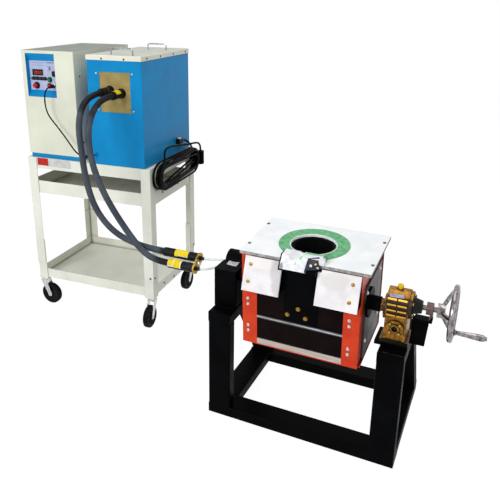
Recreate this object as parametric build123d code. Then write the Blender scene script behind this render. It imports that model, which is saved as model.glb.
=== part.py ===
from build123d import *
import math
import os

# Tilting induction furnace for melting gold: a brick-lined furnace body on two
# trunnions between the uprights of a black tube stand, turned by a worm
# gearbox and a hand wheel, and fed by two heavy cables from a power cabinet
# and a transformer box that ride on a castered steel cart.
# Frame: +Z up, the spout faces -Y, the gearbox is at +X, the cart at -X.

os.makedirs("parts", exist_ok=True)

# ---------------------------------------------------------------- sizes (mm)
# Stand of rectangular steel tube
stand_x = 137.4          # left face of the stand
stand_y = -411.8         # front face of the stand
stand_w = 640.0
stand_d = 460.0
stand_h = 400.0
tube_w = 80.0
tube_t = 40.0
tube_r = 5.0
rail_d = 242.0           # top rail, front to back
strut_foot_in = 11.0     # sloping strut's foot inside the base's rear
pedestal_front = 44.0    # pedestal's front face behind the stand's front
pedestal_rise = 137.0
tilt_rise = 112.0        # tilt axis above the top rails
trunnion_r = 20.0
running_gap = 0.05
seat_gap = 0.5           # loose seat between refractory pieces

# Furnace body
gap_left = 42.0          # upright to body, pedestal side
gap_right = 58.0         # upright to body, gearbox side
body_front = 81.0        # tilt axis to the body's front face
body_d = 285.0
body_up = 126.0          # tilt axis to the top of the body
body_down = 196.0        # tilt axis to the bottom of the body
rest_tilt = 3.4          # the body rests with its nose slightly down
angle_w = 50.0
angle_t = 4.0
rail_top = 60.0
rail_low = 20.0
board_t = 10.0
side_plate_t = 6.0
strip_gap_top = 84.0     # strips below the tilt axis
strip_h = 11.0
strip_low_top = 172.0
strip_end = 50.0         # strip ends inside the body's edges
cover_t = 10.0           # top board
cover_left = 8.0         # overhangs of the top board
cover_right = 24.0
ring_off = 3.0           # pour centre from the body's middle
ring_back = 132.0        # pour centre behind the body's front
ring_r = 112.5
ring_low = 36.0          # ring below the body's top
ring_proud = 2.0         # ring above the top board
mouth_r = 74.0
crucible_h = 219.0
crucible_wall = 12.5
crucible_foot_r = 55.0
packing_r = 104.0
spout_h = 17.0
spout_out = 31.0         # spout past the body's front
apron_h = 20.0
groove_w = 44.0
groove_h = 13.0
guard_t = 6.0
guard_h = 102.0
guard_top_out = 6.5
guard_foot_out = 46.0
gusset_t = 6.0
flange_r = 48.0
flange_t = 8.0

# Worm gearbox, its bracket and the hand wheel
gear_w = 64.0
gear_end = 10.0          # gearbox body inside the stand's right face
gear_d = 80.0
gear_foot_h = 12.0
gear_pad_h = 12.0
gear_body_h = 153.0
gear_r = 40.0
input_rise = 18.0        # input axis above the tilt axis
cap_left_r = 38.0
cap_left_t = 8.0
cap_right_r = 42.0
cap_right_t = 9.0
rib_t = 5.0
rib_proud = 5.0
barrel_r = 23.5
journal_r = 15.0
shaft_r = 8.0
carrier_l = 26.0
wheel_out = 111.0        # wheel rim past the stand's right face
wheel_r = 77.0
rim_r = 8.5
hub_r = 21.5
hub_l = 22.0
grip_l = 80.0
grip_r = 10.5
pin_r = 4.0

# Feed housing behind the pedestal
feed_r = 40.0
feed_l = 100.0
feed_in = 2.0
feed_rise = 8.0

# Cart
cart_x = -951.9
cart_y = -37.6
cart_turn = 4.19
cart_d = 443.0
deck_h = 722.0
deck_rim = 50.0
shelf_z = 558.0
shelf_rim = 57.0
tray_over = 38.0         # tray floor above the caster wheels
tray_rim = 44.0
sheet_t = 2.5
leg_w = 44.0
upper_leg_z = 215.0
lower_leg_top = 330.0
caster_r = 50.0
caster_w = 24.0
caster_trail = 30.0
caster_inset = 20.0
stem_r = 6.0
axle_r = 4.0
socket_t = 8.0

# Power cabinet and transformer box
cabinet_inset = 11.0
cabinet_w = 261.0
cabinet_d = 450.0
cabinet_top = 1185.0
cabinet_front = 5.0
cabinet_gap = 62.0
box_w = 252.0
box_d = 445.0
box_top = 1157.0
cart_end = 24.0
base_h = 20.0
lid_h = 20.0
lid_over = 2.0
recess_w = 152.0
recess_h = 188.0
recess_z = 988.0
recess_in = 18.0         # recess from the cabinet's left face
panel_w = 142.0
panel_h = 123.0
panel_low = 30.0         # panel's lower edge above the recess's lower edge
panel_deep = 20.0
panel_t = 3.0
feed_panel_w = 142.0
feed_panel_h = 163.0
feed_panel_z = 948.0
feed_panel_in = 57.0
feed_panel_deep = 2.0
feed_panel_t = 5.0

# Cables
cable_d = 24.0
boot_d = 34.0
boot_l = 70.0
hose_d = 9.0
signal_d = 6.0
mains_d = 9.0

# ------------------------------------------------------------ derived places
tray_z = 2 * caster_r + tray_over
cart_l = cabinet_inset + cabinet_w + cabinet_gap + box_w + cart_end
body_x0 = tube_w + gap_left
body_x1 = stand_w - tube_w - gap_right
body_y0 = -body_front
body_y1 = body_y0 + body_d
pour_x = (body_x0 + body_x1) / 2 + ring_off
pour_y = body_y0 + ring_back
cover_z = body_up + cover_t
tilt_y = pedestal_front + tube_w / 2
tilt_z = stand_h + tilt_rise
input_z = tilt_z + input_rise
feed_y = pedestal_front + tube_w + feed_r + 1
feed_z = tilt_z + feed_rise

stand_at = Pos(stand_x, stand_y, 0)
furnace_at = stand_at * Pos(0, tilt_y, tilt_z) * Rot(rest_tilt, 0, 0)
cart_at = Pos(cart_x, cart_y, 0) * Rot(0, 0, cart_turn)


# ------------------------------------------------------------------- helpers
def block(x0, x1, y0, y1, z0, z1):
    size = Box(x1 - x0, y1 - y0, z1 - z0)
    return Pos((x0 + x1) / 2, (y0 + y1) / 2, (z0 + z1) / 2) * size


def rod_x(x0, x1, y, z, r):
    return Pos((x0 + x1) / 2, y, z) * Rot(0, 90, 0) * Cylinder(r, x1 - x0)


def rod_y(x, y0, y1, z, r):
    return Pos(x, (y0 + y1) / 2, z) * Rot(90, 0, 0) * Cylinder(r, y1 - y0)


def rod_z(x, y, z0, z1, r):
    return Pos(x, y, (z0 + z1) / 2) * Cylinder(r, z1 - z0)


def bar(x0, x1, y0, y1, z0, z1, axis):
    solid = block(x0, x1, y0, y1, z0, z1)
    return fillet(solid.edges().filter_by(axis), tube_r)


def tray(length, depth, z0, z1, floor_up):
    # A folded sheet tray; floor_up puts the floor at the top of the rim.
    inset = sheet_t
    outer = block(inset, length - inset, inset, depth - inset, z0, z1)
    if floor_up:
        hollow = (z0 - 1, z1 - sheet_t)
    else:
        hollow = (z0 + sheet_t, z1 + 1)
    wall = inset + sheet_t
    inner = block(wall, length - wall, wall, depth - wall, hollow[0], hollow[1])
    return outer - inner


def corner_angles(x0, x1, y0, y1, z0, z1, width, thick):
    # Four upright angles whose outer faces are the faces of the given box.
    outer = block(x0, x1, y0, y1, z0, z1)
    inner = block(x0 + thick, x1 - thick, y0 + thick, y1 - thick, z0 - 1, z1 + 1)
    cross_x = block(x0 + width, x1 - width, y0 - 1, y1 + 1, z0 - 1, z1 + 1)
    cross_y = block(x0 - 1, x1 + 1, y0 + width, y1 - width, z0 - 1, z1 + 1)
    return outer - inner - cross_x - cross_y


def cord(points, diameter):
    # A round cord along filleted runs; each bend takes 0.45 of its shorter run.
    path = [Vector(*p) for p in points]
    radii = []
    for before, here, after in zip(path, path[1:], path[2:]):
        run_in = here - before
        run_out = after - here
        half_turn = math.radians(run_in.get_angle(run_out)) / 2
        radii.append(0.45 * min(run_in.length, run_out.length) / math.tan(half_turn))
    print("cord radii", [round(r) for r in radii], "least/diameter",
          round(min(radii) / diameter, 1))
    line = FilletPolyline(*path, radius=radii)
    start = Plane(origin=path[0], z_dir=path[1] - path[0])
    solid = sweep(start * Circle(diameter / 2), path=line)
    expected = math.pi * diameter ** 2 / 4 * line.length
    print("   length", round(line.length), "volume/expected", round(solid.volume / expected, 4))
    return solid


def save(shape, name):
    export_step(shape, "parts/" + name + ".step")


# --------------------------------------------------------------------- stand
base_bars = [
    bar(0, stand_w, 0, tube_w, 0, tube_t, Axis.X),
    bar(0, stand_w, stand_d - tube_w, stand_d, 0, tube_t, Axis.X),
    bar(0, tube_w, tube_w, stand_d - tube_w, 0, tube_t, Axis.Y),
    bar(stand_w - tube_w, stand_w, tube_w, stand_d - tube_w, 0, tube_t, Axis.Y),
]
save(stand_at * (base_bars[0] + base_bars[1:]), "stand_base")


# Each side: a front post, a short top rail and a strut that slopes to the rear
def upright(x0):
    x1 = x0 + tube_w
    post_top = stand_h - tube_t
    front = bar(x0, x1, 0, tube_t, tube_t, post_top, Axis.Z)
    rail = bar(x0, x1, 0, rail_d, post_top, stand_h, Axis.Y)
    rear_foot = stand_d - strut_foot_in
    slope = math.hypot(rear_foot - rail_d, post_top - tube_t) / (post_top - tube_t)
    outline = [(rear_foot, tube_t), (rail_d, post_top), (rail_d - tube_t * slope, post_top),
               (rear_foot - tube_t * slope, tube_t)]
    strut = extrude(Plane.YZ.offset(x0) * Polygon(*outline, align=None), tube_w, dir=(1, 0, 0))
    return rail + front + strut


pedestal_back = pedestal_front + tube_w
pedestal = bar(0, tube_w, pedestal_front, pedestal_back, stand_h,
               stand_h + pedestal_rise, Axis.Z)
bore_end = 8.0
left_bore = rod_x(bore_end, tube_w + 1, tilt_y, tilt_z, trunnion_r + running_gap)
save(stand_at * (upright(0) + pedestal - left_bore), "stand_left")

gear_x1 = stand_w - gear_end
gear_x0 = gear_x1 - gear_w
foot_x0 = gear_x0 - gear_end
foot_y0 = tilt_y - gear_d / 2 - 4
foot_y1 = tilt_y + gear_d / 2 + 4
plate_over = 14.0
gear_plate = block(foot_x0 - plate_over, stand_w, foot_y0, foot_y1, stand_h,
                   stand_h + gear_pad_h)
save(stand_at * (upright(stand_w - tube_w) + gear_plate), "stand_right")

# Round housing where the two water hoses enter, saddled to the pedestal
feed_drum = rod_x(feed_in, feed_in + feed_l, feed_y, feed_z, feed_r)
saddle = block(feed_in + 12, tube_w - 12, pedestal_back, feed_y, feed_z - 22, feed_z + 14)
save(stand_at * (feed_drum + saddle), "feed_housing")

# ------------------------------------------------------------------- gearbox
gear_foot_z = stand_h + gear_pad_h
gear_body_z = gear_foot_z + gear_foot_h
gear_crown_z = gear_body_z + gear_body_h - gear_r


def gear_section(grow):
    wide = gear_d + 2 * grow
    tall = gear_crown_z - gear_body_z
    shaft = Pos(tilt_y, gear_body_z + tall / 2) * Rectangle(wide, tall)
    crown = Pos(tilt_y, gear_crown_z) * Circle(gear_r + grow)
    return shaft + crown


def gear_slab(grow, x0, x1):
    return extrude(Plane.YZ.offset(x0) * gear_section(grow), x1 - x0)


gear = gear_slab(0, gear_x0, gear_x1)
gear += block(foot_x0, stand_w, foot_y0, foot_y1, gear_foot_z, gear_body_z)
gear += rod_x(gear_x0 - cap_left_t, gear_x0, tilt_y, tilt_z, cap_left_r)
output_boss_l = 10.0
gear += rod_x(gear_x0 - cap_left_t - output_boss_l, gear_x0, tilt_y, tilt_z, trunnion_r)
gear += rod_x(gear_x1, gear_x1 + cap_right_t, tilt_y, input_z, cap_right_r)
rib_edge = 4.0
rib_l = (gear_w - 3 * rib_edge) / 2
rib_drops = [6.0, -10.0, -28.0, -45.0]      # below and above the tilt axis
for column in range(2):
    rib_x0 = gear_x0 + rib_edge + column * (rib_l + rib_edge)
    band = gear_slab(rib_proud, rib_x0, rib_x0 + rib_l)
    for drop in rib_drops:
        z_mid = tilt_z - drop
        slab = block(rib_x0, rib_x0 + rib_l, tilt_y - gear_d, tilt_y + gear_d,
                     z_mid - rib_t / 2, z_mid + rib_t / 2)
        gear += band & slab
front_cap_r = 25.0
front_cap_drop = 47.0
front_cap_t = 6.0
front_hub_r = 14.0
gear_mid_x = (gear_x0 + gear_x1) / 2
gear_front = tilt_y - gear_d / 2
cap_z = tilt_z - front_cap_drop
gear += rod_y(gear_mid_x, gear_front - front_cap_t, gear_front + 1, cap_z, front_cap_r)
gear += rod_y(gear_mid_x, gear_front - front_cap_t - 4, gear_front + 1, cap_z, front_hub_r)
gear -= rod_y(gear_mid_x, gear_front - front_cap_t - 5, gear_front - front_cap_t + 2, cap_z,
              front_hub_r - 5)
journal_end = gear_x0 + 12
gear -= rod_x(gear_x0 - cap_left_t - output_boss_l - 1, journal_end, tilt_y, tilt_z,
              journal_r + running_gap)
save(stand_at * gear, "gearbox_housing")

plug_z = gear_body_z + gear_body_h
plug_stem = rod_z(gear_mid_x, tilt_y, plug_z - 1, plug_z + 5, 6)
plug_head = rod_z(gear_mid_x, tilt_y, plug_z + 5, plug_z + 13, 9)
plug_head = chamfer(plug_head.edges().sort_by(Axis.Z)[-1], 2)
gear_top = stand_at * gear
save(stand_at * (plug_stem + plug_head) - gear_top, "gearbox_plug")

# Conical carrier for the input shaft, on the right cover
carrier_x0 = gear_x1 + cap_right_t
carrier_mid = carrier_x0 + carrier_l / 2
carrier = Pos(carrier_mid, tilt_y, input_z) * Rot(0, 90, 0) * Cone(26, 19, carrier_l)
carrier -= rod_x(carrier_x0 - 1, carrier_x0 + carrier_l + 1, tilt_y, input_z,
                 shaft_r + running_gap)
save(stand_at * carrier, "input_carrier")

# Outrigger bracket welded to the upright's outer face, with a bearing block
shelf_top = input_z - 34
shelf_t = 6.0
arm_out = 49.0
arm_low = stand_h + 4
bearing_x0 = stand_w + 37
bearing_x1 = bearing_x0 + 19
bearing_r = 19.0
arm_points = [(stand_w, arm_low), (stand_w + arm_out - 7, arm_low), (stand_w + arm_out, shelf_top),
              (stand_w, shelf_top)]
arm = Plane.XZ.offset(-(tilt_y - 4)) * Polygon(*arm_points, align=None)
bracket = extrude(arm, 8, dir=(0, 1, 0))
bracket += block(stand_w + 6, bearing_x1 + 1, tilt_y - 16, tilt_y + 16, shelf_top - shelf_t, shelf_top)
bracket += rod_x(bearing_x0, bearing_x1, tilt_y, input_z, bearing_r)
bracket += block(bearing_x1 - 8, bearing_x1, tilt_y - 14, tilt_y + 14, shelf_top, input_z - 12)
bracket -= rod_x(bearing_x0 - 1, bearing_x1 + 1, tilt_y, input_z, shaft_r + running_gap)
save(stand_at * bracket, "shaft_bracket")

# ---------------------------------------------------------------- hand wheel
rim_x = stand_w + wheel_out
hub_x0 = rim_x - 44
hub_x1 = hub_x0 + hub_l
shaft_end = hub_x1 - 6
save(stand_at * rod_x(carrier_x0 + 1, shaft_end, tilt_y, input_z, shaft_r), "input_shaft")

handle_dy = 25.0
handle_dz = -math.sqrt(wheel_r ** 2 - handle_dy ** 2)
wheel_at = Pos(0, tilt_y, input_z)
wheel = wheel_at * Pos(rim_x, 0, 0) * Rot(0, 90, 0) * Torus(wheel_r, rim_r)
wheel += wheel_at * rod_x(hub_x0, hub_x1, 0, 0, hub_r)
spoke_r = 6.0
spoke_root_x = hub_x1 - 9
for number in range(3):
    turn = math.atan2(handle_dz, handle_dy) + math.radians(120 * number)
    root = Vector(spoke_root_x, 10 * math.cos(turn), 10 * math.sin(turn))
    knee = Vector(rim_x - 16, 48 * math.cos(turn), 48 * math.sin(turn))
    tip = Vector(rim_x, wheel_r * math.cos(turn), wheel_r * math.sin(turn))
    arc = ThreePointArc(root, knee, tip)
    spoke = sweep(Plane(origin=root, z_dir=arc % 0) * Circle(spoke_r), path=arc)
    wheel += wheel_at * spoke
grip_x0 = rim_x + 13
pin_end = grip_x0 + grip_l + 0.3
wheel += wheel_at * rod_x(rim_x, grip_x0 - 0.3, handle_dy, handle_dz, 9)
wheel += wheel_at * rod_x(rim_x, pin_end + 2, handle_dy, handle_dz, pin_r)
wheel += wheel_at * rod_x(pin_end, pin_end + 4, handle_dy, handle_dz, 6.5)
wheel -= wheel_at * rod_x(hub_x0 - 1, shaft_end, 0, 0, shaft_r)
save(stand_at * wheel, "hand_wheel")

grip_points = [(0, 0), (5.6, 0), (6.8, 2), (8.6, 34), (grip_r, 66), (9.4, 76), (6, grip_l), (0, grip_l)]
grip_face = Plane.XZ * Polygon(*grip_points, align=None)
grip = revolve(grip_face, Axis.Z)
grip -= rod_z(0, 0, -1, grip_l + 1, pin_r + running_gap)
grip = Pos(grip_x0, tilt_y + handle_dy, input_z + handle_dz) * Rot(0, 90, 0) * grip
save(stand_at * grip, "handle_grip")

# -------------------------------------------------------------- furnace body
frame = corner_angles(body_x0, body_x1, body_y0, body_y1, -body_down, body_up, angle_w, angle_t)
for side in (0, 1):
    rail_x0 = body_x0 if side == 0 else body_x1 - angle_t
    rail_x1 = rail_x0 + angle_t
    frame += block(rail_x0, rail_x1, body_y0, body_y1, body_up - rail_top, body_up)
    frame += block(rail_x0, rail_x1, body_y0, body_y1, -body_down, -body_down + rail_low)
floor_ring = block(body_x0, body_x1, body_y0, body_y1, -body_down, -body_down + angle_t)
floor_ring -= block(body_x0 + angle_w, body_x1 - angle_w, body_y0 + angle_w, body_y1 - angle_w,
                    -body_down - 1, -body_down + angle_t + 1)
frame += floor_ring
save(furnace_at * frame, "furnace_frame")

in_x0 = body_x0 + angle_t
in_x1 = body_x1 - angle_t
in_y0 = body_y0 + angle_t
in_y1 = body_y1 - angle_t
in_z0 = -body_down + angle_t
shell = block(in_x0, in_x1, in_y0, in_y1, in_z0, body_up)
shell -= block(in_x0 + board_t, in_x1 - board_t, in_y0 + board_t, in_y1 - board_t,
               in_z0 + board_t, body_up + 1)
save(furnace_at * shell, "body_boards")

plate_y0 = body_y0 + 43
plate_y1 = body_y1 - 20
plate_z0 = -body_down + 13
plate_z1 = body_up - rail_top - 5
left_plate = block(body_x0 - side_plate_t, body_x0, plate_y0, plate_y1, plate_z0, plate_z1)
right_plate = block(body_x1, body_x1 + side_plate_t, plate_y0, plate_y1, plate_z0, plate_z1)
save(furnace_at * Compound([left_plate, right_plate]), "side_plates")

strips = []
for y_face in (body_y0, in_y1):
    for drop, height in ((strip_gap_top, strip_h), (strip_low_top, body_down - angle_t - strip_low_top)):
        strips.append(block(body_x0 + strip_end, body_x1 - strip_end, y_face, y_face + angle_t,
                            -drop - height, -drop))
save(furnace_at * Compound(strips), "front_strips")

cover = block(body_x0 - cover_left, body_x1 + cover_right, body_y0, body_y1, body_up, cover_z)
cover -= rod_z(pour_x, pour_y, body_up - 1, cover_z + 1, ring_r + seat_gap)
save(furnace_at * cover, "top_board")

ring_z0 = body_up - ring_low
ring_z1 = cover_z + ring_proud
mouth_y = pour_y - 7
ring = rod_z(pour_x, pour_y, ring_z0, ring_z1, ring_r)
mouth = rod_z(pour_x, mouth_y, ring_z0 - 1, ring_z1 + 40, mouth_r)
save(furnace_at * (ring - mouth), "lining_ring")

# Crucible: a tapered pot with a round-bottomed hollow, standing in the packing
crucible_r = mouth_r - seat_gap
crucible_z1 = cover_z - 5
crucible_z0 = crucible_z1 - crucible_h
hollow_r = crucible_r - crucible_wall
foot_hollow_r = crucible_foot_r - crucible_wall
crucible_body = Cone(crucible_foot_r, crucible_r, crucible_h)
hollow_h = crucible_h - crucible_wall
crucible_hollow = Pos(0, 0, crucible_wall / 2) * Cone(foot_hollow_r, hollow_r, hollow_h)
crucible_hollow = fillet(crucible_hollow.edges().sort_by(Axis.Z)[0], 18)
pot = Pos(pour_x, mouth_y, (crucible_z0 + crucible_z1) / 2) * (crucible_body - crucible_hollow)
save(furnace_at * pot, "crucible")

packing_z0 = in_z0 + board_t
packing = rod_z(pour_x, pour_y, packing_z0, ring_z0, packing_r)
packing -= rod_z(pour_x, mouth_y, crucible_z0, ring_z0 + 1, crucible_r + seat_gap)
save(furnace_at * packing, "packing")

# Spout: a cast block over the ring's front with a sloping face and a pouring
# groove, held between two steel cheeks
spout_back = mouth_y - mouth_r + 8
lip_y = body_y0 - spout_out
spout_top = cover_z + spout_h
lip_z = cover_z - apron_h + 2
brow_y = body_y0 - 4
spout_x0 = pour_x - 58
spout_x1 = pour_x + 23
right_cheek = [(spout_x1 - 4, lip_y, lip_z), (spout_x1, brow_y, spout_top),
               (pour_x + 51, body_y0 + 15, spout_top), (pour_x + 63, body_y0 - 5, cover_z - 10)]
corner = Vector(*right_cheek[0])
cheek_x = (Vector(*right_cheek[3]) - corner).normalized()
cheek_up = Vector(*right_cheek[1]) - corner
cheek_out = cheek_up.cross(cheek_x).normalized()
cheek_at = Plane(origin=corner, x_dir=cheek_x, z_dir=cheek_out)
cheek_flat = [(cheek_at.to_local_coords(Vector(*p)).X, cheek_at.to_local_coords(Vector(*p)).Y)
              for p in right_cheek]
cheek_t = 3.0
spout_plan = [(spout_x0, spout_back - 28), (spout_x0, lip_y), (spout_x1, lip_y),
              (pour_x + 57, body_y0 - 3), (pour_x + 73, body_y0 - 3), (pour_x + 71, body_y0 + 33),
              (pour_x + 63, spout_back), (pour_x - 66, spout_back)]
spout = extrude(Plane.XY.offset(cover_z) * Polygon(*spout_plan, align=None), spout_h)
spout += block(spout_x0, spout_x1, lip_y, body_y0, cover_z - apron_h, cover_z)
face_cut = [(lip_y - 1, lip_z - 1), (brow_y, spout_top + 0.5), (brow_y, spout_top + 20),
            (lip_y - 20, spout_top + 20), (lip_y - 20, lip_z - 1)]
back_cut = [(body_y0 + 33, spout_top + 0.5), (spout_back + 1, cover_z + 3), (spout_back + 1, spout_top + 20),
            (body_y0 + 33, spout_top + 20)]
for outline in (face_cut, back_cut):
    wedge = Plane.YZ.offset(pour_x - 90) * Polygon(*outline, align=None)
    spout -= extrude(wedge, 180, dir=(1, 0, 0))
right_plate = extrude(cheek_at * Polygon(*cheek_flat, align=None), cheek_t, dir=-cheek_out)
ahead = [(cheek_flat[0][0] - 3, cheek_flat[0][1] - 20), (cheek_flat[1][0] - 3, cheek_flat[1][1] + 20),
         (cheek_flat[2][0], cheek_flat[2][1] + 20), (cheek_flat[3][0], cheek_flat[3][1] - 20)]
room_ahead = extrude(cheek_at * Polygon(*ahead, align=None), 60, dir=cheek_out)
spout -= room_ahead
spout -= right_plate
spout -= rod_z(pour_x, pour_y, body_up, ring_z1, ring_r + seat_gap)
spout -= mouth
groove_start = Plane(origin=(pour_x - 6, spout_back + 10, spout_top), x_dir=(1, 0, 0), z_dir=(0, -1, 0))
groove_stop = Plane(origin=(pour_x - 26, lip_y - 5, spout_top), x_dir=(1, 0, 0), z_dir=(0, -1, 0))
groove_vee = Polygon((-groove_w / 2, 1), (groove_w / 2, 1), (4, -groove_h), (-4, -groove_h), align=None)
spout -= loft([groove_start * groove_vee, groove_stop * groove_vee])
save(furnace_at * spout, "spout")

# Black bracket: centre plate, lower ledge, spout cheeks and gussets for the guards
centre_x0 = pour_x - 52
centre_x1 = pour_x + 55
lean = math.degrees(math.atan2(guard_foot_out - guard_top_out, guard_h))
guard_len = guard_h / math.cos(math.radians(lean))
ledge_z1 = cover_z - apron_h
guard_left = (body_x0 + 16, pour_x - 56)
guard_right = (centre_x1 + 2, body_x1 - 1)
guard_pivot = Pos(0, body_y0 - guard_top_out, body_up) * Rot(-lean, 0, 0)
guards = []
gussets = []
for x0, x1 in (guard_left, guard_right):
    guards.append(guard_pivot * block(x0, x1, 0, guard_t, -guard_len, 0))
    for gx in (x0, x1 - gusset_t):
        wedge = guard_pivot * block(gx, gx + gusset_t, guard_t, 60, -guard_len, 0)
        gussets.append(wedge & block(gx, gx + gusset_t, body_y0 - 60, body_y0, body_up - guard_h + 2,
                                     ledge_z1 - 7))
centre = block(centre_x0 - 10, centre_x1 + 8, body_y0, in_y0, body_up - guard_h, body_up)
centre += block(centre_x0, centre_x1, body_y0, in_y0, -strip_gap_top + 2, body_up - guard_h)
ledge = block(spout_x0 - 4, centre_x1, lip_y + 2, body_y0, ledge_z1 - 6, ledge_z1)
left_profile = [(lip_y, lip_z), (brow_y, spout_top), (body_y0 + 21, spout_top), (body_y0 + 21, cover_z),
                (body_y0 - 0.5, cover_z), (body_y0 - 0.5, ledge_z1 - 6), (lip_y, ledge_z1 - 6)]
left_plate = extrude(Plane.YZ.offset(spout_x0 - 4) * Polygon(*left_profile, align=None), 4, dir=(1, 0, 0))
ledge += left_plate
ledge += right_plate
ledge += block(spout_x1 + 2, centre_x1, lip_y + 2, body_y0, ledge_z1 - 1, cover_z - 11) - room_ahead
guards[0] -= block(spout_x0 - 5, spout_x0 + 20, lip_y - 9, body_y0 + 9, ledge_z1 - 7, cover_z)
guards[1] -= block(centre_x1, pour_x + 68, lip_y - 9, body_y0 + 9, body_up - 10, cover_z)
for gusset in gussets:
    centre += gusset
save(furnace_at * (centre + ledge), "spout_bracket")
save(furnace_at * Compound(guards), "splash_guards")

# Trunnions: flanged shafts bolted to the side plates
left_face = body_x0 - side_plate_t
right_face = body_x1 + side_plate_t
left_trunnion = rod_x(bore_end + 2, left_face, 0, 0, trunnion_r)
left_trunnion += rod_x(left_face - flange_t, left_face, 0, 0, flange_r)
save(furnace_at * left_trunnion, "trunnion_left")

boss_x0 = gear_x0 - cap_left_t - output_boss_l
right_trunnion = rod_x(right_face, right_face + flange_t, 0, 0, flange_r)
right_trunnion += rod_x(right_face, boss_x0 - 2, 0, 0, barrel_r)
right_trunnion += rod_x(right_face, journal_end - 2, 0, 0, journal_r)
save(furnace_at * right_trunnion, "trunnion_right")

# ---------------------------------------------------------------------- cart
save(cart_at * tray(cart_l, cart_d, deck_h - deck_rim, deck_h, True), "cart_deck")
save(cart_at * tray(cart_l, cart_d, shelf_z, shelf_z + shelf_rim, False), "cart_shelf")

lower_in = 2 * sheet_t
low_tray = block(lower_in, cart_l - lower_in, lower_in, cart_d - lower_in, tray_z, tray_z + tray_rim)
low_wall = lower_in + sheet_t
low_tray -= block(low_wall, cart_l - low_wall, low_wall, cart_d - low_wall, tray_z + sheet_t,
                  tray_z + tray_rim + 1)
save(cart_at * low_tray, "cart_tray")

upper_legs = corner_angles(0, cart_l, 0, cart_d, upper_leg_z, deck_h, leg_w, sheet_t)
save(cart_at * upper_legs, "cart_legs_upper")

leg_foot = tray_z - 2
lower_legs = corner_angles(sheet_t, cart_l - sheet_t, sheet_t, cart_d - sheet_t, leg_foot,
                           lower_leg_top, leg_w, sheet_t)
stems = {
    "front_left": (caster_inset, caster_inset, -2),
    "front_right": (cart_l - caster_inset, caster_inset, -88),
    "rear_right": (cart_l - caster_inset, cart_d - caster_inset, -94),
    "rear_left": (caster_inset, cart_d - caster_inset, -40),
}
for stem_x, stem_y, heading in stems.values():
    pad_x0 = sheet_t if stem_x < cart_l / 2 else cart_l - sheet_t - leg_w
    pad_y0 = sheet_t if stem_y < cart_d / 2 else cart_d - sheet_t - leg_w
    lower_legs += block(pad_x0, pad_x0 + leg_w, pad_y0, pad_y0 + leg_w, leg_foot - socket_t, leg_foot)
for stem_x, stem_y, heading in stems.values():
    lower_legs -= rod_z(stem_x, stem_y, leg_foot - socket_t - 1, leg_foot + 1, stem_r + running_gap)
save(cart_at * lower_legs, "cart_legs_lower")

# Casters: a swivelling fork and a wheel on a cross axle
crown_top = leg_foot - socket_t - 0.2
half_gap = caster_w / 2 + 2
fork_t = 3.0
fork_out = half_gap + fork_t
fork_outline = [(-16, crown_top - 12), (16, crown_top - 12), (caster_trail + 11, caster_r + 2),
                (caster_trail + 7, caster_r - 10), (caster_trail - 7, caster_r - 10),
                (caster_trail - 11, caster_r + 2)]
fork_face = Plane.XZ * Polygon(*fork_outline, align=None)
cheek = extrude(fork_face, fork_t, dir=(0, 1, 0))
fork = rod_z(0, 0, crown_top - 8, crown_top, 18)
fork += rod_z(0, 0, crown_top - 1, leg_foot, stem_r)
fork += block(-16, 16, -fork_out, fork_out, crown_top - 12, crown_top - 8)
fork += Pos(0, -fork_out, 0) * cheek
fork += Pos(0, half_gap, 0) * cheek
fork += rod_y(caster_trail, -fork_out - 2, fork_out + 2, caster_r, axle_r)
wheel_blank = rod_y(caster_trail, -caster_w / 2, caster_w / 2, caster_r, caster_r)
wheel_blank = fillet(wheel_blank.edges().filter_by(GeomType.CIRCLE), 4)
wheel_blank += rod_y(caster_trail, -half_gap + 0.3, half_gap - 0.3, caster_r, 12)
roller = wheel_blank - rod_y(caster_trail, -half_gap, half_gap, caster_r, axle_r + running_gap)
for place, (stem_x, stem_y, heading) in stems.items():
    at = cart_at * Pos(stem_x, stem_y, 0) * Rot(0, 0, heading)
    save(at * fork, "caster_fork_" + place)
    save(at * roller, "caster_wheel_" + place)

# ------------------------------------------------------------- power cabinet
cab_x0 = cabinet_inset
cab_x1 = cab_x0 + cabinet_w
cab_y0 = cabinet_front
cab_y1 = cab_y0 + cabinet_d
base_top = deck_h + base_h
recess_x0 = cab_x0 + recess_in
recess_x1 = recess_x0 + recess_w
recess_z1 = recess_z + recess_h
recess_back = cab_y0 + panel_deep + panel_t + 7
cabinet = block(cab_x0, cab_x1, cab_y0, cab_y1, base_top, cabinet_top)
cabinet = fillet(cabinet.edges().filter_by(Axis.Z), 3)
cabinet -= block(recess_x0, recess_x1, cab_y0 - 1, recess_back, recess_z, recess_z1)
save(cart_at * cabinet, "cabinet_shell")

box_x1 = cart_l - cart_end
box_x0 = box_x1 - box_w
box_y1 = cab_y0 + box_d
base_in = 6.0
bases = [
    block(cab_x0 + base_in, cab_x1 - base_in, cab_y0 + base_in, cab_y1 - base_in, deck_h, base_top),
    block(box_x0, box_x1, cab_y0, box_y1, deck_h, base_top),
]
save(cart_at * Compound(bases), "base_frames")

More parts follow.
